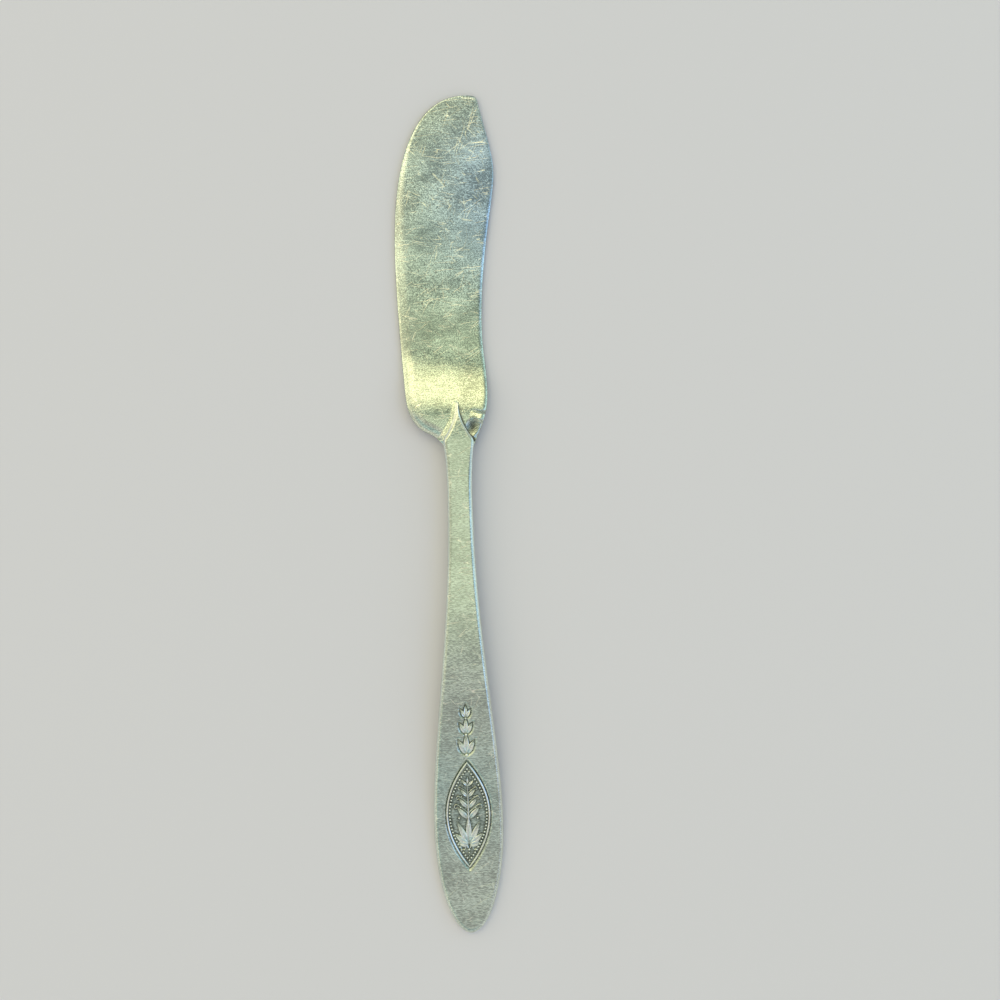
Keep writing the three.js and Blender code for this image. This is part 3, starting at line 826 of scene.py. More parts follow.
def scratch_lines(tree, coordinates, run, width, lean, shift, thin, gate):
    """Hairline scratches: thin lines where drawn-out noise crosses its middle, broken up by more noise."""
    noise = stretched_noise(tree, coordinates, run, width, lean, shift, 0.0)
    off = add_node(tree, "ShaderNodeMath", {0: sums(tree, "SUBTRACT", noise, 0.5)}, operation="ABSOLUTE")
    line = between(tree, off.outputs[0], 0.0, thin, 1.0, 0.0)
    run, width, shift = run * PATCH_RUN, width * PATCH_WIDTH, shift + PATCH_SHIFT
    patches = stretched_noise(tree, coordinates, run, width, lean, shift, 1.0)
    return sums(tree, "MULTIPLY", line, between(tree, patches, gate, gate + PATCH_EDGE))


# Run and width in millimetres, lean in degrees, shift, thinness and how rare, for each family of scratches
SCRATCHES = (
    (14.0, 0.9, 6, 12.0, 0.015, 0.53),
    (10.0, 0.7, -14, 24.0, 0.015, 0.53),
    (12.0, 0.8, 33, 39.0, 0.014, 0.56),
    (9.0, 0.7, -47, 55.0, 0.014, 0.56),
    (13.0, 1.0, 71, 73.0, 0.014, 0.57),
    (8.0, 0.6, -80, 91.0, 0.014, 0.57),
)

# Run and width in millimetres, lean in degrees and shift, for each lie of the fine rubbing
RUBBING = ((3.0, 0.16, 3, 3.0), (2.2, 0.14, -7, 5.0), (2.5, 0.15, 38, 7.0), (2.2, 0.14, -52, 9.0))

# Run and width in millimetres, lean in radians and shift, for the smudges
SMUDGES = (9.0, 6.0, 0.4, 13.0)

# Range in which most noise lies, and the ranges of rubbing and of the whole grain
NOISE_RANGE = (0.3, 0.7)
RUB_RANGE = (0.45, 0.75)
GRAIN_RANGE = (0.1, 1.6)

# Width of the grain in millimetres, and how far rubbing and smudges add to it
GRAIN_WIDTH = 0.15
RUB_SHARE = 0.28
SMUDGE_SHARE = 0.24

# Middle brightness of the grain, and how much of the plate each mark covers
PLATE_LEVEL = 1.03
SCRATCH_COVER = 0.75
# Polish with painted highlight covers so much of the plate; patina with painted shade covers it over a range
# of the grain
POLISH_AND_HIGHLIGHT_COVER = 0.7
TARNISH_AND_SHADE_COVER = (1.0, 0.6)
TARNISH_AND_SHADE_RANGE = (0.3, 1.4)

# Roughness of the plate, and what grain and tarnish add to it
PLATE_ROUGHNESS = 0.15
GRAIN_ROUGHNESS = 0.06
TARNISH_ROUGHNESS = 0.25

# Height of the bump, and how much of it grain and smudges take against a scratch
BUMP_STRENGTH = 0.25
BUMP_HEIGHT = 0.03 * MM
GRAIN_BUMP = 0.25
SMUDGE_BUMP = 4.0

# Braze: run and width in millimetres, lean and shift of its flow, its darkest tone and its roughness
BRAZE_FLOW = (0.8, 0.5, 0, 2.0)
BRAZE_DULL = 0.7
BRAZE_ROUGHNESS = (0.35, 0.55)

FLOOR_ROUGHNESS = 0.9


def plate_grain(tree, coordinates, run, smudge):
    """Grain of the plate: short lines across it, fine rubbing at several leans, and smudges."""
    lines = stretched_noise(tree, coordinates, run / MM, GRAIN_WIDTH, 0, 2.0, 1.0)
    grain = between(tree, lines, *NOISE_RANGE)
    for rub_run, width, lean, shift in RUBBING:
        rub = stretched_noise(tree, coordinates, rub_run, width, math.radians(lean), shift, 1.0)
        grain = sums(tree, "ADD", grain, between(tree, rub, *RUB_RANGE, 0.0, RUB_SHARE))
    return sums(tree, "ADD", grain, between(tree, smudge, *NOISE_RANGE, -SMUDGE_SHARE, SMUDGE_SHARE))


def plate_scratches(tree, coordinates):
    """All the families of scratches together."""
    scratches = 0.0
    for run, width, lean, shift, thin, gate in SCRATCHES:
        line = scratch_lines(tree, coordinates, run, width, math.radians(lean), shift, thin, gate)
        scratches = sums(tree, "MAXIMUM", scratches, line)
    return scratches


def worn_plate(name, metal, grain_run, wear, finish):
    """Satin silver plate with fine rubbing and hairline scratches, a painted bluish reflection of cool light,
    edges and relief made bright by wear and by painted highlight, and patina with painted shade in its
    hollows.
    """
    material = bpy.data.materials.new(name)
    material.use_nodes = True
    tree = material.node_tree
    shader = tree.nodes["Principled BSDF"]

    def times(first, second):
        return sums(tree, "MULTIPLY", first, second)

    def plus(first, second):
        return sums(tree, "ADD", first, second)

    def read_mark(mark_name):
        return add_node(tree, "ShaderNodeAttribute", attribute_name=mark_name).outputs["Fac"]

    coordinates = add_node(tree, "ShaderNodeTexCoord").outputs["Object"]
    smudge = stretched_noise(tree, coordinates, *SMUDGES)
    grain = plate_grain(tree, coordinates, grain_run, smudge)
    scratches = plate_scratches(tree, coordinates)
    hollow = read_mark("hollow")
    # The film mark mixes in a painted bluish reflection of cool light
    plate = mixed(tree, read_mark("film"), (*metal, 1), (*finish.film, 1))
    light = between(tree, grain, *GRAIN_RANGE, PLATE_LEVEL - wear, PLATE_LEVEL + wear)
    toned = add_node(tree, "ShaderNodeVectorMath", {0: plate, "Scale": light}, operation="SCALE")
    tone = mixed(tree, times(scratches, SCRATCH_COVER), toned.outputs["Vector"], (*finish.scratch, 1))
    # Worn polish and painted highlight on edges and relief crests
    tone = mixed(tree, times(read_mark("rubbed"), POLISH_AND_HIGHLIGHT_COVER), tone, (*finish.bright, 1))
    # Patina and painted shade in hollows, seams and creases, broken up by the grain
    patchy = times(hollow, between(tree, grain, *TARNISH_AND_SHADE_RANGE, *TARNISH_AND_SHADE_COVER))
    tone = mixed(tree, patchy, tone, (*finish.tarnish_and_shade, 1))
    rough = plus(plus(times(grain, GRAIN_ROUGHNESS), PLATE_ROUGHNESS), times(hollow, TARNISH_ROUGHNESS))
    height = sums(tree, "SUBTRACT", times(grain, GRAIN_BUMP), scratches)
    height = plus(height, times(smudge, SMUDGE_BUMP))
    bump = add_node(
        tree, "ShaderNodeBump", {"Strength": BUMP_STRENGTH, "Distance": BUMP_HEIGHT, "Height": height}
    )
    shader.inputs["Metallic"].default_value = 1.0
    tree.links.new(tone, shader.inputs["Base Color"])
    tree.links.new(rough, shader.inputs["Roughness"])
    tree.links.new(bump.outputs["Normal"], shader.inputs["Normal"])
    return material


def braze_metal(finish):
    """Pale braze, slightly uneven."""
    material = bpy.data.materials.new("pale_braze")
    material.use_nodes = True
    tree = material.node_tree
    shader = tree.nodes["Principled BSDF"]
    coordinates = add_node(tree, "ShaderNodeTexCoord").outputs["Object"]
    flow = stretched_noise(tree, coordinates, *BRAZE_FLOW)
    dull = tuple(BRAZE_DULL * part for part in finish.braze) + (1,)
    tree.links.new(mixed(tree, flow, dull, (*finish.braze, 1)), shader.inputs["Base Color"])
    tree.links.new(between(tree, flow, *NOISE_RANGE, *BRAZE_ROUGHNESS), shader.inputs["Roughness"])
    shader.inputs["Metallic"].default_value = 1.0
    return material


def matt_floor(tone):
    material = bpy.data.materials.new("pale_floor")
    material.use_nodes = True
    shader = material.node_tree.nodes["Principled BSDF"]
    shader.inputs["Base Color"].default_value = (*tone, 1)
    shader.inputs["Roughness"].default_value = FLOOR_ROUGHNESS
    return material


def plate_finish(settings, name):
    """The finish of the handle or the blade, made once."""
    made = bpy.data.materials.get(name)
    finish = settings.finish
    if name == "blade_plate":
        return made or worn_plate(name, finish.blade, finish.blade_grain, finish.blade_wear, finish)
    return made or worn_plate(name, finish.handle, finish.handle_grain, finish.handle_wear, finish)


# Blade and handle

# Columns of each sheet, as shares of its width, and how often the sheet is subdivided
HANDLE_COLUMNS = (0, 0.045, 0.13, 0.25, 0.375, 0.5, 0.625, 0.75, 0.87, 0.955, 1)
BLADE_COLUMNS = (0, 0.025, 0.08, 0.17, 0.29, 0.41, 0.53, 0.65, 0.77, 0.87, 0.945, 0.985, 1)
FINE = 3

# Rows in each stretch of a sheet, from its lower end to its tip
BLADE_ROWS = (6, 19, 15, 13)
HANDLE_ROWS = (9, 27, 13, 8, 9)

# Where the sheets' rows change their spacing: above the shoulders on the blade, above the end on the handle
HEEL_ROWS_END = 17 * MM
TIP_ROWS_START = 52 * MM
END_ROWS_END = 10 * MM
ORNAMENT_ROWS_END = 46 * MM

# Room left round the tang and the heel in the handle, and how far the tang reaches into the butt and its seat
CLEARANCE = 0.1 * MM
TANG_INSET = 0.5 * MM
TANG_DROP = 0.02 * MM

# Tarnish and painted shade: half the width of the painted dark line in the seam along the tongue, how far it
# reaches, how far from the tongue's tip it fades, how much painted shadow lies in the crease, and how much
# patina and painted shade lies on the ornament's ground, away from the relief and at its foot
SEAM_CORE = 0.1 * MM
SEAM_REACH = 0.5 * MM
SEAM_FADE = 1 * MM
CREASE_SHADOW = 0.6
GROUND_TARNISH_AND_SHADE = (0.15, 0.95)

# Rubbed sides, worn polish with a painted highlight: how far they reach in, how bright the blade's are, and
# how far they stop short of its tip
EDGE_RUB_AND_HIGHLIGHT_REACH = 6 * MM
SPINE_RUB_AND_HIGHLIGHT_REACH = 0.9 * MM
HANDLE_RUB_AND_HIGHLIGHT_REACH = 0.8 * MM
BLADE_RUB_AND_HIGHLIGHT = 0.3
RUB_AND_HIGHLIGHT_SETBACK = 4 * MM

# Painted bluish reflection of cool light on the blade, kept in the mark called film: the rises over which it
# comes, the rise where it starts to go and what is left at the tip, and the places across the blade between
# which it gets stronger, with its strength at each
BLUE_REFLECTION_COMES = (16 * MM, 46 * MM)
BLUE_REFLECTION_GOES = 52 * MM
BLUE_REFLECTION_AT_TIP = 0.5
BLUE_REFLECTION_ACROSS = (-8 * MM, 6 * MM)
BLUE_REFLECTION_STRENGTH = (0.35, 1.1)


class SPREADER_OT_blade(Operator):
    """Model the blade: a drawn sheet, thickened, cranked, bevelled and struck, with its tang"""

    bl_idname = "spreader.blade"
    bl_label = "Blade"

    def execute(self, context):
        settings = context.scene.spreader
        blade, handle = settings.blade, settings.handle
        piece = drawn_sheet("spreader_blade", self.rows(blade, handle), BLADE_COLUMNS)
        finish_with(piece, "SUBSURF", levels=FINE, render_levels=FINE)
        top = len(piece.data.vertices)
        edge, spine = sheet_sides(piece)
        finish_with(piece, "SOLIDIFY", thickness=1 * MM, offset=-1)
        x, y, z = places(piece)
        to_edge, to_spine = distance_to(edge, x, y), distance_to(spine, x, y)
        on_top = np.arange(len(x)) < top
        face, floor = self.heights(blade, handle, x, y, to_edge, to_spine)
        lift(piece, np.where(on_top, face, floor) - z)
        # Painted shade along the tongue's seam, in the struck hollow and in the crease
        mark(piece, "hollow", np.where(on_top, self.tarnish_and_shade(blade, handle, x, y), 0))
        # Worn polish and painted highlight along the edge and the spine
        short_of_tip = 1 - smooth(y, BLADE_TIP - blade.belly_setback, BLADE_TIP - RUB_AND_HIGHLIGHT_SETBACK)
        on_edge = bevel_share(to_edge, EDGE_RUB_AND_HIGHLIGHT_REACH) * short_of_tip
        mark(piece, "rubbed", BLADE_RUB_AND_HIGHLIGHT * np.maximum(on_edge, bevel_share(to_spine, SPINE_RUB_AND_HIGHLIGHT_REACH)))
        # Film: painted bluish reflection of cool light, strongest towards the spine
        mark(piece, "film", self.film(handle, x, y))
        half = blade.tang_width / 2
        low = (-half, TANG_END, SEAT - blade.tang_thickness)
        high = (half, shoulder(handle) - TANG_INSET, SEAT - TANG_DROP)
        combine(piece, cut_block("tang", low, high), "UNION")
        settle(piece, plate_finish(settings, "blade_plate"))
        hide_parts("blade")
        return {"FINISHED"}

    def rows(self, blade, handle):
        """Rows of the blade's sheet, closer together at the heel and the tip."""
        edge, spine = blade_sides(blade, handle)
        base = shoulder(handle)
        butt, heel, middle, tip = BLADE_ROWS
        tip_part = np.linspace(0, 1, tip)[1:]
        y = base + np.concatenate([
            np.linspace(-blade.butt_inset, blade.notch_rise, butt),
            np.linspace(blade.notch_rise, HEEL_ROWS_END, heel)[1:],
            np.linspace(HEEL_ROWS_END, TIP_ROWS_START, middle)[1:],
            blend(TIP_ROWS_START, BLADE_TIP - base, 1 - (1 - tip_part) ** 2),
        ])
        return list(zip(y, np.interp(y, edge[:, 1], edge[:, 0]), np.interp(y, spine[:, 1], spine[:, 0])))

    def heights(self, blade, handle, x, y, to_edge, to_spine):
        """Heights of the face and of the underside."""
        base = shoulder(handle)
        nearest = np.minimum(to_edge, to_spine)
        fade = smooth(y, base, base + blade.heel_bevel_fade / 2)
        thickness = blade_thickness(blade, handle, y)
        slighter = blend(1, blade.edge_bevel_tip, smooth(y, BLADE_TIP - blade.belly_setback, BLADE_TIP))
        edge_fall = blade.edge_bevel_drop * slighter * bevel_share(to_edge, blade.edge_bevel_width * slighter)
        spine_fall = blade.spine_bevel_drop * bevel_share(to_spine, blade.spine_bevel_width)
        fall = np.maximum(edge_fall, spine_fall) * fade * thickness / blade.heel_thickness
        fall = np.maximum(fall, heel_bevel(blade, handle, to_edge, y))
        crease, lip = crease_and_lip(blade, handle, x, y)
        struck = struck_hollow(blade, handle, x, y) + blade.crease_depth * crease - blade.lip_height * lip
        underside = blade_underside(blade, handle, x, y)
        face = underside + thickness - fall
        face += tongue_fillet(blade, handle, x, y) - struck - corner_drop(nearest, blade.corner)
        floor = underside + blade.ease_rise * bevel_share(nearest, blade.ease) * fade
        return face, floor

    def tarnish_and_shade(self, blade, handle, x, y):
        """Share of painted shade: a dark line in the seam beside the tongue, and darkening in the struck
        hollow and in the crease.
        """
        line = handle_line(handle, SPINE, shoulder(handle), TONGUE_TIP, TONGUE_STEPS)
        seam = 1 - smooth(distance_to(line, x, y), SEAM_CORE, SEAM_REACH)
        seam = np.where(x > tongue_middle(handle, y), seam, 0) * smooth(TONGUE_TIP - y, 0, SEAM_FADE)
        pit = struck_hollow(blade, handle, x, y) / blade.hollow_depth
        crease, lip = crease_and_lip(blade, handle, x, y)
        return np.maximum.reduce([seam, pit, CREASE_SHADOW * crease])

    def film(self, handle, x, y):
        """Strength of the painted bluish reflection of cool light, which gets stronger towards the spine."""
        rise = y - shoulder(handle)
        goes = smooth(rise, BLUE_REFLECTION_GOES, BLADE_TIP - shoulder(handle))
        film = smooth(rise, *BLUE_REFLECTION_COMES) * blend(1, BLUE_REFLECTION_AT_TIP, goes)
        return film * blend(*BLUE_REFLECTION_STRENGTH, ramp(x, *BLUE_REFLECTION_ACROSS))


class SPREADER_OT_handle(Operator):
    """Model the handle: a drawn sheet, thickened, bowed and bevelled, with the ornament's sunk ground"""

    bl_idname = "spreader.handle"
    bl_label = "Handle"

    def execute(self, context):
        settings = context.scene.spreader
        sizes, ornament, blade = settings.handle, settings.ornament, settings.blade
        piece = drawn_sheet("spreader_handle", self.rows(sizes), HANDLE_COLUMNS)
        finish_with(piece, "SUBSURF", levels=FINE, render_levels=FINE)
        top = len(piece.data.vertices)
        edge, spine = sheet_sides(piece)
        finish_with(piece, "SOLIDIFY", thickness=1 * MM, offset=-1)
        x, y, z = places(piece)
        to_edge, to_spine = distance_to(edge, x, y), distance_to(spine, x, y)
        nearest = np.minimum(to_edge, to_spine)
        ground = ornament_ground(ornament, x, y)
        face = self.face(sizes, blade, y, to_edge, to_spine) - ornament.ground_depth * ground
        floor = handle_underside(sizes, blade.crank_rise, y) + sizes.ease * bevel_share(nearest, sizes.ease)
        on_top = np.arange(len(x)) < top
        lift(piece, np.where(on_top, face, floor) - z)
        # Patina and painted shade on the sunk ground, darkest beside the relief
        beside = beside_relief(ornament, x, y, face, ground)
        mark(piece, "hollow", np.where(on_top, ground * blend(*GROUND_TARNISH_AND_SHADE, beside), 0))
        # Worn polish and painted highlight along the handle's sides
        mark(piece, "rubbed", bevel_share(nearest, HANDLE_RUB_AND_HIGHLIGHT_REACH))
        self.cut_seat(piece, sizes, blade)
        settle(piece, plate_finish(settings, "handle_plate"))
        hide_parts("handle")
        return {"FINISHED"}

    def rows(self, sizes):
        """Rows of the handle's sheet, closer together round its end, at the ornament and at the tongue."""
        end, ornament, shank, neck, tongue = HANDLE_ROWS
        round_turn = np.linspace(0, math.acos(1 - END_ROWS_END / sizes.end_length), end)
        y = np.concatenate([
            sizes.end_length * (1 - np.cos(round_turn)),
            np.linspace(END_ROWS_END, ORNAMENT_ROWS_END, ornament)[1:],
            np.linspace(ORNAMENT_ROWS_END, narrowest(sizes), shank)[1:],
            np.linspace(narrowest(sizes), shoulder(sizes), neck)[1:],
            np.linspace(shoulder(sizes), TONGUE_TIP, tongue)[1:],
        ])
        return list(zip(y, handle_side(sizes, y, EDGE), handle_side(sizes, y, SPINE)))

    def face(self, sizes, blade, y, to_edge, to_spine):
        """Height of the face, with a round bevel on both sides and a flat one on the tongue's spine side."""
        drop = handle_bevel(sizes, y)
        slighter = drop / sizes.bevel_drop
        flat = sizes.flat_bevel_drop * np.clip(slighter - to_spine / sizes.flat_bevel_width, 0, 1)
        round_edge = drop * bevel_share(to_edge, sizes.bevel_width)
        round_spine = drop * bevel_share(to_spine, sizes.bevel_width)
        along_tongue = smooth(y, narrowest(sizes), shoulder(sizes))
        fall = np.maximum(round_edge, blend(round_spine, flat, along_tongue))
        corner = blend(sizes.corner, sizes.tongue_corner, along_tongue)
        face = handle_face(sizes, blade.crank_rise, y) - fall
        return face - corner_drop(np.minimum(to_edge, to_spine), corner)

    def cut_seat(self, piece, sizes, blade):
        """Cuts the step for the blade's heel and the mortise for its tang."""
        butt = shoulder(sizes) - blade.butt_inset
        reach = sizes.shoulder_width
        low, high = (-reach, butt - CLEARANCE, -CLEARANCE), (reach, TONGUE_TIP + reach, TONGUE_SEAT)
        combine(piece, cut_block("heel_step", low, high), "DIFFERENCE")
        half = blade.tang_width / 2 + CLEARANCE
        low = (-half, TANG_END - CLEARANCE, SEAT - blade.tang_thickness - CLEARANCE)
        combine(piece, cut_block("mortise", low, (half, shoulder(sizes), TONGUE_SEAT)), "DIFFERENCE")


# Ornament

# Corners round a leaf and steps along it, then its midrib: how wide it is, how high it starts and how much of
# its height is left
LEAF_SIDES = 10
LEAF_STEPS = 9
VEIN_WIDTH = 0.05
VEIN_START = 0.2
VEIN_HEIGHT = 0.32
FOOT_END = 1e-7

# Fineness of a bead and of a moulding
BEAD_SEGMENTS = 10
BEAD_RINGS = 6
MOULDING_ROUND = 2
MOULDING_STEPS = 24

# A flowing line: a knot pulls one part in so many of the way between its neighbours; and how thin it ends
FLOW_PULL = 6
FLOW_END = 0.7

# Tarnish and painted shade at the foot of the relief, and polish with a painted highlight on its crest, with
# their heights as shares of the relief
FOOT_TARNISH_AND_SHADE = 0.8
TARNISH_AND_SHADE_TOP = 0.45
POLISH_AND_HIGHLIGHT_RANGE = (0.25, 0.7)

# Border: two thirds of the way to the corner gives the curve of the medallion's outline
OVAL_PULL = 2 / 3
BEAD_HEIGHT = 0.6
RIM_SINK = 0.7

# Scrolls and berries under the fan; drops are in millimetres
VOLUTE_OUT = 1.55
VOLUTE_DOWN = 0.55
VOLUTE_TURN = (math.pi * 1.05, -math.pi * 1.7)
VOLUTE_REACH = (1.25, 0.22)
VOLUTE_KNOTS = 12
FAN_BERRY_WIDTH = 0.6
FAN_BERRY_DROPS = (0.75, 1.35, 1.85)
FAN_BERRY_TAPER = 0.35

# Spray: berries beside the leaves, the end leaf, the stem, and the points of a tendril, across and up the
# stem in millimetres
BERRY_OUT = 1.75 * MM
BERRY_UP = 0.25 * MM
BERRY_HEIGHT = 0.8
END_LEAF_RISE = 0.3 * MM
END_LEAF_LENGTH = 1.1
STEM_BELOW = 1.5 * MM
STEM_ABOVE = 1 * MM
STEM_SWELL = 1.3
STEM_END = 0.5
TENDRIL = ((0, 1.15), (1.15, 2.2), (2.15, 2.85), (2.6, 2.5), (2.4, 2.1), (2.1, 2.3))

# Knob at the foot of a husk, against a petal's width and the relief
KNOB_WIDTH = 0.6
KNOB_HEIGHT = 1.05


def leaf(name, run, width, height):
    """Pointed leaf along y with a sunk midrib, half of it under the ground that it stands on."""
    bpy.ops.object.select_all(action="DESELECT")
    bpy.ops.mesh.primitive_circle_add(vertices=LEAF_SIDES, radius=0.5, rotation=(math.pi / 2, 0, 0))
    piece = bpy.context.object
    piece.name = name
    bpy.ops.object.transform_apply(location=True, rotation=True, scale=True)
    bpy.ops.object.mode_set(mode="EDIT")
    bpy.ops.mesh.select_all(action="SELECT")
    last = leaf_swell(0)
    bpy.ops.transform.resize(value=(width * last, 1, 2 * height * last), center_override=(0, 0, 0))
    for step in range(1, LEAF_STEPS + 1):
        part = step / LEAF_STEPS
        swell = leaf_swell(part)
        bpy.ops.mesh.extrude_region_move(TRANSFORM_OT_translate={"value": (0, run / LEAF_STEPS, 0)})
        ratio = swell / last
        bpy.ops.transform.resize(value=(ratio, 1, ratio), center_override=(0, run * part, 0))
        last = swell
    bpy.ops.mesh.merge(type="COLLAPSE")
    select_vertices(piece, lambda index, place: place.y < FOOT_END)
    bpy.ops.mesh.merge(type="COLLAPSE")
    reach, start = VEIN_WIDTH * width, VEIN_START * height
    select_vertices(piece, lambda index, place: abs(place.x) < reach and place.z > start)
    bpy.ops.transform.resize(value=(1, 1, VEIN_HEIGHT), center_override=(0, 0, 0))
    bpy.ops.object.mode_set(mode="OBJECT")
    finish_with(piece, "SUBSURF", levels=1, render_levels=1)
    return piece


def bead(name, width, height):
    """Round bead, half of it under the ground that it stands on."""
    bpy.ops.object.select_all(action="DESELECT")
    bpy.ops.mesh.primitive_uv_sphere_add(segments=BEAD_SEGMENTS, ring_count=BEAD_RINGS, radius=0.5)
    piece = bpy.context.object
    piece.name = name
    piece.scale = (width, width, 2 * height)
    bpy.ops.object.transform_apply(location=True, rotation=True, scale=True)
    return piece


def moulding(name, knots, width, cyclic=False):
    """Round moulding along a Bezier curve; each knot is (point, left handle, right handle, radius share)."""
    bpy.ops.object.select_all(action="DESELECT")
    bpy.ops.curve.primitive_bezier_curve_add()
    piece = bpy.context.object
    piece.name = name
    piece.data.bevel_depth = width / 2
    piece.data.bevel_resolution = MOULDING_ROUND
    piece.data.use_fill_caps = True
    piece.data.resolution_u = MOULDING_STEPS
    spline = piece.data.splines[0]
    spline.use_cyclic_u = cyclic
    spline.bezier_points.add(len(knots) - len(spline.bezier_points))
    for point, (place, before, after, radius) in zip(spline.bezier_points, knots):
        point.handle_left_type = point.handle_right_type = "FREE"
        point.co = (*place, 0)
        point.handle_left = (*before, 0)
        point.handle_right = (*after, 0)
        point.radius = radius
    bpy.ops.object.convert(target="MESH")
    return bpy.context.object


def flowing(points):
    """Knots of a smooth line through points, a little thinner towards its end."""
    knots = []
    for number, point in enumerate(points):
        before = points[max(number - 1, 0)]
        after = points[min(number + 1, len(points) - 1)]
        pull = (after - before) / FLOW_PULL
        knots.append((point, point - pull, point + pull, blend(1, FLOW_END, number / len(points))))
    return knots


def strike(name, parts, settings, sunk):
    """Joins an ornament's parts, lifts them from the table onto the handle's face and finishes them."""
    piece = joined(name, parts)
    x, y, z = places(piece)
    height = z / settings.ornament.relief
    lift(piece, handle_face(settings.handle, settings.blade.crank_rise, y) - sunk)
    # Patina and painted shade low on the relief, worn polish and painted highlight on its crest
    mark(piece, "hollow", FOOT_TARNISH_AND_SHADE * (1 - smooth(height, 0, TARNISH_AND_SHADE_TOP)))
    mark(piece, "rubbed", smooth(height, *POLISH_AND_HIGHLIGHT_RANGE))
    settle(piece, plate_finish(settings, "handle_plate"))


class SPREADER_OT_rim(Operator):
    """Model the medallion's border: a raised rim with a row of beads inside it"""

    bl_idname = "spreader.rim"
    bl_label = "Medallion border"

    def execute(self, context):
        settings = context.scene.spreader
        ornament = settings.ornament
        inset = ornament.rim_width / 2
        line = medallion_line(ornament, inset)
        foot, head = Vector(line[0]), Vector(line[OVAL_STEPS - 1])
        wide = ornament.medallion_width - 2 * inset
        middle = (foot.y + head.y) / 2
        right, left = Vector((wide, middle)), Vector((-wide, middle))
        knots = (
            (foot, foot.lerp(left, OVAL_PULL), foot.lerp(right, OVAL_PULL), 1),
            (head, head.lerp(right, OVAL_PULL), head.lerp(left, OVAL_PULL), 1),
        )
        parts = [moulding("rim", knots, ornament.rim_width, cyclic=True)]
        bead_line = medallion_line(ornament, ornament.rim_width + ornament.bead_width / 2)
        steps = np.hypot(*np.diff(bead_line, axis=0).T)
        travel = np.concatenate([[0], np.cumsum(steps)])
        beads = round(travel[-1] / ornament.bead_pitch)
        pattern = bead("bead", ornament.bead_width, ornament.relief * BEAD_HEIGHT)
        for number in range(beads):
            at = travel[-1] * number / beads
            place = (np.interp(at, travel, bead_line[:, 0]), np.interp(at, travel, bead_line[:, 1]), 0)
            parts.append(copy_of(pattern, place))
        discard(pattern)
        strike("medallion_border", parts, settings, ornament.ground_depth * RIM_SINK)
        return {"FINISHED"}


class SPREADER_OT_fan(Operator):
    """Model the leaf fan, with two scrolls and a row of berries at its foot"""

    bl_idname = "spreader.fan"
    bl_label = "Leaf fan"

    def execute(self, context):
        settings = context.scene.spreader
        ornament = settings.ornament
        foot = ornament.setback + ornament.fan_rise
        pattern = leaf("leaf", ornament.fan_leaf_length, ornament.fan_leaf_width, ornament.relief)
        parts = []
        for number in range(ornament.fan_leaves):
            lean = ornament.fan_spread * (number / (ornament.fan_leaves - 1) - 0.5)
            size = blend(ornament.fan_side_share, 1, math.cos(lean) ** 2)
            parts.append(copy_of(pattern, (0, foot, 0), lean, (1, size, 1)))
        for side in (-1, 1):
            parts.append(self.volute(ornament, foot, side))
        berry = bead("berry", ornament.volute_width * FAN_BERRY_WIDTH, ornament.relief)
        for drop in FAN_BERRY_DROPS:
            size = 1 - FAN_BERRY_TAPER * drop
            parts.append(copy_of(berry, (0, foot - drop * MM, 0), 0, (size, size, 1)))
        discard(pattern, berry)
        strike("leaf_fan", parts, settings, ornament.ground_depth)
        return {"FINISHED"}

    def volute(self, ornament, foot, side):
        """Scroll that runs out from under the fan and curls in on itself."""
        radius = ornament.volute_width / 2
        centre = Vector((side * radius * VOLUTE_OUT, foot - radius * VOLUTE_DOWN))
        points = []
        for number, angle in enumerate(np.linspace(*VOLUTE_TURN, VOLUTE_KNOTS)):
            reach = radius * blend(*VOLUTE_REACH, number / (VOLUTE_KNOTS - 1))
            points.append(centre + Vector((side * math.cos(angle), math.sin(angle))) * reach)
        return moulding("volute", flowing(points), ornament.stem_width)


class SPREADER_OT_spray(Operator):
    """Model the leaf spray: a tapered stem, pairs of leaves with berries and tendrils, and an end leaf"""

    bl_idname = "spreader.spray"
    bl_label = "Leaf spray"

    def execute(self, context):
        settings = context.scene.spreader
        ornament = settings.ornament
        start = ornament.setback + ornament.spray_rise
        pattern = leaf("leaf", ornament.spray_leaf_length, ornament.spray_leaf_width, ornament.relief)
        berry = bead("berry", ornament.bead_width, ornament.relief * BERRY_HEIGHT)
        parts = []
        for pair in range(ornament.spray_pairs):
            foot = start + pair * ornament.spray_pitch
            size = ornament.spray_taper**pair
            for side in (-1, 1):
                parts.append(copy_of(pattern, (0, foot, 0), side * ornament.spray_turn, (size, size, 1)))
                place = (side * BERRY_OUT * size, foot + BERRY_UP * size, 0)
                parts.append(copy_of(berry, place, 0, (size, size, 1)))
                if pair < ornament.spray_pairs - 1:
                    parts.append(self.tendril(ornament, foot, side, size))
        top = start + (ornament.spray_pairs - 1) * ornament.spray_pitch
        size = ornament.spray_taper**ornament.spray_pairs
        end_leaf = (size, size * END_LEAF_LENGTH, 1)
        parts.append(copy_of(pattern, (0, top + END_LEAF_RISE, 0), 0, end_leaf))
        discard(pattern, berry)
        root, end = Vector((0, start - STEM_BELOW)), Vector((0, top + STEM_ABOVE))
        third = (end - root) / 3
        knots = ((root, root - third, root + third, 1), (end, end - third, end + third, STEM_END))
        parts.append(moulding("stem", knots, ornament.stem_width * STEM_SWELL))
        strike("leaf_spray", parts, settings, ornament.ground_depth)
        return {"FINISHED"}

    def tendril(self, ornament, foot, side, size):
        """Tendril that leaves the stem above a leaf, runs along it and curls over at its end."""
        points = []
        for across, up in TENDRIL:
            points.append(Vector((side * across * size * MM, foot + up * size * MM)))
        return moulding("tendril", flowing(points), ornament.tendril_width)


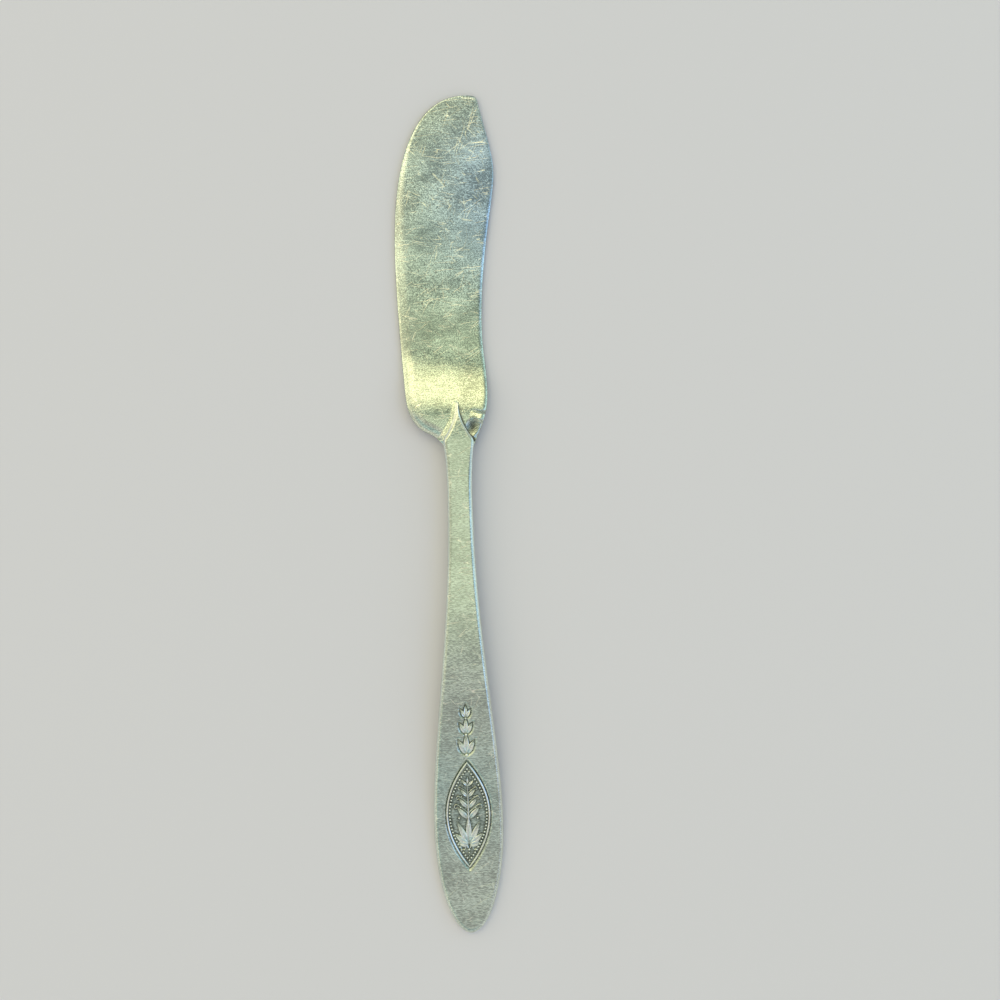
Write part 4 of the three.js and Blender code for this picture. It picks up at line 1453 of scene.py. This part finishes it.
class SPREADER_OT_husks(Operator):
    """Model the chain of husks, each of three petals on a knob"""

    bl_idname = "spreader.husks"
    bl_label = "Husk chain"

    def execute(self, context):
        settings = context.scene.spreader
        ornament = settings.ornament
        pattern = leaf("petal", ornament.husk_length, ornament.husk_width, ornament.relief)
        knob = bead("knob", ornament.husk_width * KNOB_WIDTH, ornament.relief * KNOB_HEIGHT)
        parts = []
        for foot, size in husk_feet(ornament):
            for side in (-1, 1, 0):
                run = size * (ornament.husk_side_share if side else 1)
                parts.append(copy_of(pattern, (0, foot, 0), side * ornament.husk_turn, (size, run, 1)))
            parts.append(copy_of(knob, (0, foot, 0), 0, (size, size, 1)))
        discard(pattern, knob)
        strike("husk_chain", parts, settings, ornament.ground_depth)
        return {"FINISHED"}


class SPREADER_OT_braze(Operator):
    """Give the brazed seam between handle and blade its metal"""

    bl_idname = "spreader.braze"
    bl_label = "Braze"

    def execute(self, context):
        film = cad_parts["braze_film"]
        film.data.materials.clear()
        film.data.materials.append(braze_metal(context.scene.spreader.finish))
        return {"FINISHED"}


# Stage

# What the lamps are aimed at, and each lamp's place and side, in metres
LAMP_AIM = (0, 0.027, 0.002)
EDGE_LAMP_PLACE = (-0.49, 0.19, 0.30)
EDGE_LAMP_SIDE = 0.28
SPINE_LAMP_PLACE = (0.55, 0.15, 0.31)
SPINE_LAMP_SIDE = 0.36

FLOOR_DROP = 0.05 * MM
SENSOR_WIDTH = 36
NEAREST_VIEW = 0.01


def soft_lamp(name, place, size, radiance, lamp_colour):
    """Square area lamp that looks a given brightness, aimed at the blade's heel."""
    bpy.ops.object.light_add(type="AREA", location=place)
    lamp = bpy.context.object
    lamp.name = name
    lamp.data.shape = "SQUARE"
    lamp.data.size = size
    lamp.data.energy = radiance * math.pi * size**2
    lamp.data.color = lamp_colour
    lamp.rotation_euler = (Vector(LAMP_AIM) - Vector(place)).to_track_quat("-Z", "Y").to_euler()
    lamp.visible_camera = False


class SPREADER_OT_stage(Operator):
    """Set the pale floor, the soft lamps, the room's light and the camera"""

    bl_idname = "spreader.stage"
    bl_label = "Stage"

    def execute(self, context):
        scene = context.scene
        stage = scene.spreader.stage
        scene.view_settings.view_transform = "Standard"
        bpy.ops.object.select_all(action="DESELECT")
        bpy.ops.mesh.primitive_plane_add(size=stage.floor_size, location=(0, 0, -FLOOR_DROP))
        floor = context.object
        floor.name = "floor"
        bpy.ops.object.transform_apply(location=True, rotation=True, scale=True)
        floor.data.materials.append(matt_floor(stage.floor))
        soft_lamp("lamp_beside_edge", EDGE_LAMP_PLACE, EDGE_LAMP_SIDE, stage.edge_lamp, stage.warm)
        soft_lamp("lamp_beside_spine", SPINE_LAMP_PLACE, SPINE_LAMP_SIDE, stage.spine_lamp, stage.cool)
        self.room(scene, stage)
        self.camera(scene, stage)
        return {"FINISHED"}

    def room(self, scene, stage):
        """Soft light all round, with a dark corner, a warm glow beyond the blade and three smaller glows."""
        scene.world = bpy.data.worlds.new("soft_room")
        scene.world.use_nodes = True
        tree = scene.world.node_tree
        direction = add_node(tree, "ShaderNodeTexCoord").outputs["Generated"]

        def towards(*aim):
            node = add_node(tree, "ShaderNodeVectorMath", {0: direction, 1: aim}, operation="DOT_PRODUCT")
            return node.outputs["Value"]

        # Round spot, turned across and forward from straight up, all in degrees
        def spot(across, forward, inner, outer):
            aim = Vector((math.tan(math.radians(across)), math.tan(math.radians(forward)), 1)).normalized()
            return between(tree, towards(*aim), math.cos(math.radians(outer)), math.cos(math.radians(inner)))

        def lit(light, part, tone, strength):
            return mixed(tree, part, light, tuple(strength * level for level in tone) + (1,), "ADD")

        up = towards(0, 0, 1)

        # Room behind the handle and room beyond the blade
        blade_side = between(tree, towards(0, 1, 0), -0.2, 0.1)
        light = mixed(tree, blade_side, (*stage.room_far, 1), (*stage.room_near, 1))

        # Dark corner, high behind the handle on the edge side
        corner = between(tree, towards(-0.5, -0.86, 0), 0.34, 0.46)
        corner = sums(tree, "MULTIPLY", corner, between(tree, up, 0.68, 0.78))
        light = mixed(tree, corner, light, (*stage.dusk, 1))

        # Soft glow above the stem
        light = lit(light, spot(-1, 2, 0.5, 7), stage.soft, stage.stem_glow)

        # Warm glow, high beyond the blade
        beyond = towards(-0.25, 0.97, 0)
        glow = sums(tree, "SUBTRACT", between(tree, beyond, 0.28, 0.43), between(tree, beyond, 0.55, 0.8))
        glow = sums(tree, "MULTIPLY", glow, between(tree, up, 0.68, 0.82))
        light = lit(light, glow, stage.warm, stage.beyond_glow)

        # Warm glow beside the edge and blue glow beside the spine
        light = lit(light, between(tree, towards(-0.98, 0.2, 0), 0.04, 0.24), stage.warm, stage.edge_glow)
        light = lit(light, spot(38, -8, 4, 17), stage.blue, stage.spine_glow)

        # Even light near the floor
        light = mixed(tree, between(tree, up, 0.3, 0.6), (*stage.room_low, 1), light)
        tree.links.new(light, tree.nodes["Background"].inputs["Color"])
        tree.nodes["Background"].inputs["Strength"].default_value = 1.0

    def camera(self, scene, stage):
        height = stage.view_width * stage.lens / SENSOR_WIDTH
        place = ORIGIN + Vector((stage.view_x, stage.view_y, height + stage.view_height))
        bpy.ops.object.camera_add(location=place, rotation=(0, 0, stage.view_turn))
        camera = bpy.context.object
        camera.data.lens = stage.lens
        camera.data.clip_start = NEAREST_VIEW
        scene.camera = camera


class SPREADER_PT_panel(Panel):
    """Lists the steps that model the spreader"""

    bl_idname = "SPREADER_PT_panel"
    bl_label = "Butter spreader"
    bl_space_type = "VIEW_3D"
    bl_region_type = "UI"
    bl_category = "Spreader"

    def draw(self, context):
        for step in STEPS:
            self.layout.operator(step.bl_idname)


STEPS = (
    SPREADER_OT_stage,
    SPREADER_OT_blade,
    SPREADER_OT_rim,
    SPREADER_OT_fan,
    SPREADER_OT_spray,
    SPREADER_OT_husks,
    SPREADER_OT_handle,
    SPREADER_OT_braze,
)
SETTINGS = (HandleSizes, BladeSizes, OrnamentSizes, FinishSettings, StageSettings, SpreaderSettings)


def register():
    for made in SETTINGS + STEPS + (SPREADER_PT_panel,):
        bpy.utils.register_class(made)
    bpy.types.Scene.spreader = PointerProperty(type=SpreaderSettings)


def unregister():
    del bpy.types.Scene.spreader
    for made in reversed(SETTINGS + STEPS + (SPREADER_PT_panel,)):
        bpy.utils.unregister_class(made)


def main():
    register()
    bpy.ops.spreader.stage()
    bpy.ops.spreader.blade()
    bpy.ops.spreader.rim()
    bpy.ops.spreader.fan()
    bpy.ops.spreader.spray()
    bpy.ops.spreader.husks()
    bpy.ops.spreader.handle()
    bpy.ops.spreader.braze()


if __name__ == "__main__":
    main()
